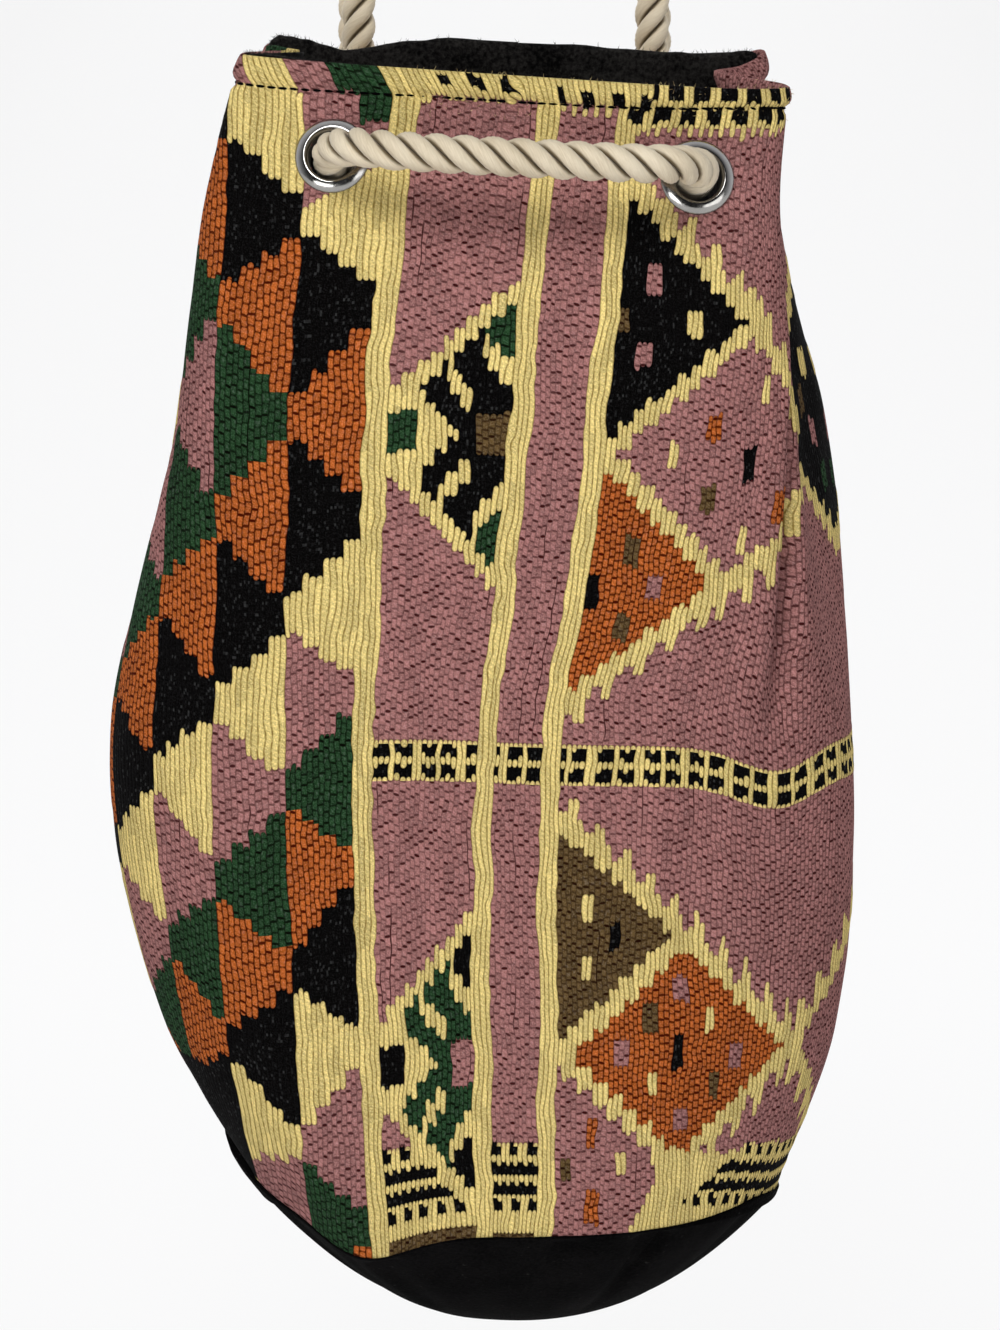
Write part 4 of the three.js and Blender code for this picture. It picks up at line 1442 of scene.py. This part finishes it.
def rope_line(step):
    """The rope's middle line, as one smooth curve through its route, in even steps."""
    route = np.array(ROPE_ROUTE, float)
    route = np.vstack([2 * route[0] - route[1], route, 2 * route[-1] - route[-2]])
    share = np.linspace(0, 1, ROUTE_STEPS, endpoint=False)[:, None]
    line = []
    for a, b, c, d in zip(route[:-3], route[1:-2], route[2:-1], route[3:]):
        before, here, after = (np.linalg.norm(q - p) ** 0.5 for p, q in ((a, b), (b, c), (c, d)))
        leave = ((b - a) / before - (c - a) / (before + here) + (c - b) / here) * here
        reach = ((c - b) / here - (d - b) / (here + after) + (d - c) / after) * here
        line.append(b + leave * share + (3 * (c - b) - 2 * leave - reach) * share ** 2
                    + (2 * (b - c) + leave + reach) * share ** 3)
    line = np.vstack(line + [route[-2:-1]])
    run = run_along(line)
    even = np.linspace(0, run[-1], int(round(run[-1] / step)) + 1)
    return np.stack([np.interp(even, run, line[:, i]) for i in range(3)], -1), even


def carried_sides(line):
    """Two directions across a line, carried along it without twist."""
    ahead = unit(np.gradient(line, axis=0))
    side = np.cross(ahead[0], (0.0, 0.0, 1.0))
    sides = []
    for forward in ahead:
        side = unit(side - forward * side.dot(forward))
        sides.append(side)
    return np.array(sides), np.cross(ahead, sides)


def turned_between(turn, side, other):
    """The direction that a turn points in, from one side of a line towards the other."""
    return np.cos(turn)[:, None] * side + np.sin(turn)[:, None] * other


def laid_strand(line, run, side, other, strand):
    """One strand of the rope, wound round its middle line, with its ends closed."""
    def place(turn, step):
        at = np.rint(step).astype(int)
        phase = 2 * math.pi * (run[at] / ROPE_LAY + strand / STRANDS)
        out = turned_between(phase, side[at], other[at])
        beside = turned_between(phase, other[at], -side[at])
        turn = turn / STRAND_SIDES * 2 * math.pi
        deep = STRAND_OFF_MIDDLE + STRAND_HALF_DEPTH * np.cos(turn)
        wide = STRAND_HALF_WIDTH * np.sin(turn)
        return line[at] + out * deep[:, None] + beside * wide[:, None]

    made = laid_cloth(STRAND_SIDES, len(line) - 1, place)
    close_tube(made)
    ends = [edge for edge in made.edges if edge.is_boundary]
    bmesh.ops.holes_fill(made, edges=ends, sides=STRAND_SIDES)
    bmesh.ops.recalc_face_normals(made, faces=made.faces[:])
    return made


def make_rope(finish, knots):
    """Three strands laid together along the route."""
    line, run = rope_line(ROPE_STEP)
    side, other = carried_sides(line)
    rope = bmesh.new()
    for strand in range(STRANDS):
        made = laid_strand(line, run, side, other, strand)
        spare = bpy.data.meshes.new("strand")
        made.to_mesh(spare)
        made.free()
        rope.from_mesh(spare)
        bpy.data.meshes.remove(spare)
    piece = finished_piece("cotton_rope", rope, finish, "rope", "rope")
    write_map(piece, read_map(piece) * (1, run[-1]))
    every_third = np.unique(np.r_[np.arange(0, len(line), 3), len(line) - 1])
    path = in_row_frame(line[every_third])
    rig.cord(piece, exit=tuple(path[0]), length=ROPE_LENGTH * MM, diameter=ROPE_DIAMETER * MM,
            far_end="knot", stiffness="limp", lay="taut", path=path.tolist(), with_pieces=knots)


def make_knot(name, finish):
    """A stopper knot drawn up tight against the washer inside the bag."""
    place, out = SEATS[f"low_{name}"]
    washer_foot = WASHER_FACE - 2 * EYELET_METAL - 2 * CLEAR
    reach = (KNOT_DIAMETER / 2 - KNOT_STRAND) / (KNOT_SWING + 1)
    t = np.linspace(0, 2 * math.pi, KNOT_STEPS + 1)
    swing = (KNOT_SWING + np.cos(3 * t)) * reach
    rise = (KNOT_LENGTH / 2 - KNOT_STRAND) * np.sin(3 * t) + washer_foot - KNOT_LENGTH / 2
    loop = np.stack([swing * np.cos(2 * t), swing * np.sin(2 * t), rise], -1)
    loop = place + loop @ np.array(pointing(out).to_3x3()).T
    ahead = unit(np.vstack([loop[1] - loop[-2], loop[2:] - loop[:-2], loop[1] - loop[-2]]))
    side = unit(np.cross(ahead, out))
    other = np.cross(ahead, side)

    def at_loop(turn, step):
        at = np.rint(step).astype(int)
        turn = turn / KNOT_SIDES * 2 * math.pi
        return loop[at] + KNOT_STRAND * turned_between(turn, side[at], other[at])

    knot = laid_cloth(KNOT_SIDES, KNOT_STEPS, at_loop)
    close_and_face_out(knot)
    return finished_piece(f"stopper_knot_{name}", knot, finish, "rope", f"rope_knot_{name}")


# Floor, light and camera

def make_stage():
    """A pale floor that sweeps up behind the bag."""
    sweep = bmesh.new()
    bmesh.ops.create_grid(sweep, x_segments=8, y_segments=60, size=1)
    for corner in sweep.verts:
        run = FLOOR_FRONT + (corner.co.y + 1) / 2 * FLOOR_RUN
        bend = max(0.0, run - SWEEP_FROM)
        turn = min(bend / SWEEP_RADIUS, math.pi / 2)
        flat = min(run, SWEEP_FROM) + SWEEP_RADIUS * math.sin(turn)
        rise = SWEEP_RADIUS * (1 - math.cos(turn)) + max(0.0, bend - SWEEP_RADIUS * math.pi / 2)
        corner.co = (corner.co.x * FLOOR_HALF_WIDTH, flat, FLOOR_HEIGHT + rise)
    pale = bpy.data.materials.new("pale_floor")
    pale.use_nodes = True
    nodes = Nodes(pale.node_tree)
    paint = nodes.made("ShaderNodeBsdfDiffuse", 0, {"Color": FLOOR_PAINT})
    glow = nodes.made("ShaderNodeEmission", 0, {"Color": FLOOR_GLOW})
    seen = nodes.seen_by("Is Camera Ray", "Is Glossy Ray", "Is Transmission Ray") * FLOOR_GLOW_SHARE
    both = nodes.made("ShaderNodeMixShader", 0, {0: seen, 1: paint, 2: glow})
    nodes.add("ShaderNodeOutputMaterial", {"Surface": both})
    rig.stage(placed("floor", sweep, pale))


def light_studio():
    """Even studio light. What the metal mirrors is pale all round and darker on the camera's side."""
    world = bpy.data.worlds.new("studio")
    bpy.context.scene.world = world
    world.use_nodes = True
    nodes = Nodes(world.node_tree)
    depth = nodes.split(nodes.made("ShaderNodeTexCoord", "Generated"))[1]
    pale = nodes.between(depth, MIRRORED_FROM, MIRRORED_TO, MIRRORED_DARK, MIRRORED_PALE)
    sky, mirrored, backdrop = (
        nodes.made("ShaderNodeBackground", 0, {"Color": colour, "Strength": strength})
        for colour, strength in ((SKY, SKY_STRENGTH), (MIRRORED, pale), (BACKDROP, BACKDROP_STRENGTH)))
    is_mirrored = nodes.seen_by("Is Glossy Ray", "Is Transmission Ray")
    around = nodes.made("ShaderNodeMixShader", 0, {0: is_mirrored, 1: sky, 2: mirrored})
    is_seen = nodes.seen_by("Is Camera Ray")
    both = nodes.made("ShaderNodeMixShader", 0, {0: is_seen, 1: around, 2: backdrop})
    nodes.add("ShaderNodeOutputWorld", {"Surface": both})
    for name, (place, size, power) in LAMPS.items():
        lamp = bpy.data.lights.new(name, "AREA")
        lamp.shape = "DISK"
        lamp.size = size
        lamp.energy = power
        holder = bpy.data.objects.new(name, lamp)
        bpy.context.collection.objects.link(holder)
        holder.location = place
        holder.visible_camera = False
        holder.rotation_euler = (BAG_MIDDLE - Vector(place)).to_track_quat("-Z", "Y").to_euler()


def place_camera():
    view = bpy.data.cameras.new("camera")
    view.sensor_width = SENSOR
    view.lens = SENSOR * FOCAL_PIXELS / PHOTO_HEIGHT
    camera = bpy.data.objects.new("camera", view)
    bpy.context.collection.objects.link(camera)
    camera.location = CAMERA_PLACE
    camera.rotation_euler = (CAMERA_TILT, 0, 0)
    bpy.context.scene.camera = camera
    bpy.context.scene.view_settings.view_transform = "Standard"


wool = woven_finish()
base_felt = felt_finish("black_base_cloth", dark=(1, 1, 1), rubbed=(14, 13, 13), nap_mm=1.1, sheen=0.004)
lining_felt = felt_finish("black_lining_fleece", dark=(2, 2, 2), rubbed=(46, 44, 42), nap_mm=1.4, sheen=0.05)
nickel = nickel_finish()
cotton = rope_finish()

wall = make_woven_wall(wool)
lining = make_lining(lining_felt)
make_lint("lining_lint", lining, lining_felt, "lining_cloth", count=1500, seed=31,
          is_fuzzy=lambda at: at.z > FUZZY_RIM)
make_lint("hem_lint", wall, lint_finish(), "woven_cloth", count=420, seed=32,
          is_fuzzy=lambda at: at.z > FUZZY_HEM and at.y < FRONT_HEM and at.x > CREAM_HEM)
make_base(base_felt)
make_lining_bottom(base_felt)
make_hem_stitches(base_felt)
make_eyelets(nickel)
stopper_knots = [make_knot(name, cotton) for name in ("left", "right")]
make_rope(cotton, stopper_knots)
make_stage()
light_studio()
place_camera()

visual_box = [list(corner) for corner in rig.bounds()]
with open("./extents.json", "w") as sizes:
    json.dump({"cad": cad_box, "visual": visual_box}, sizes)
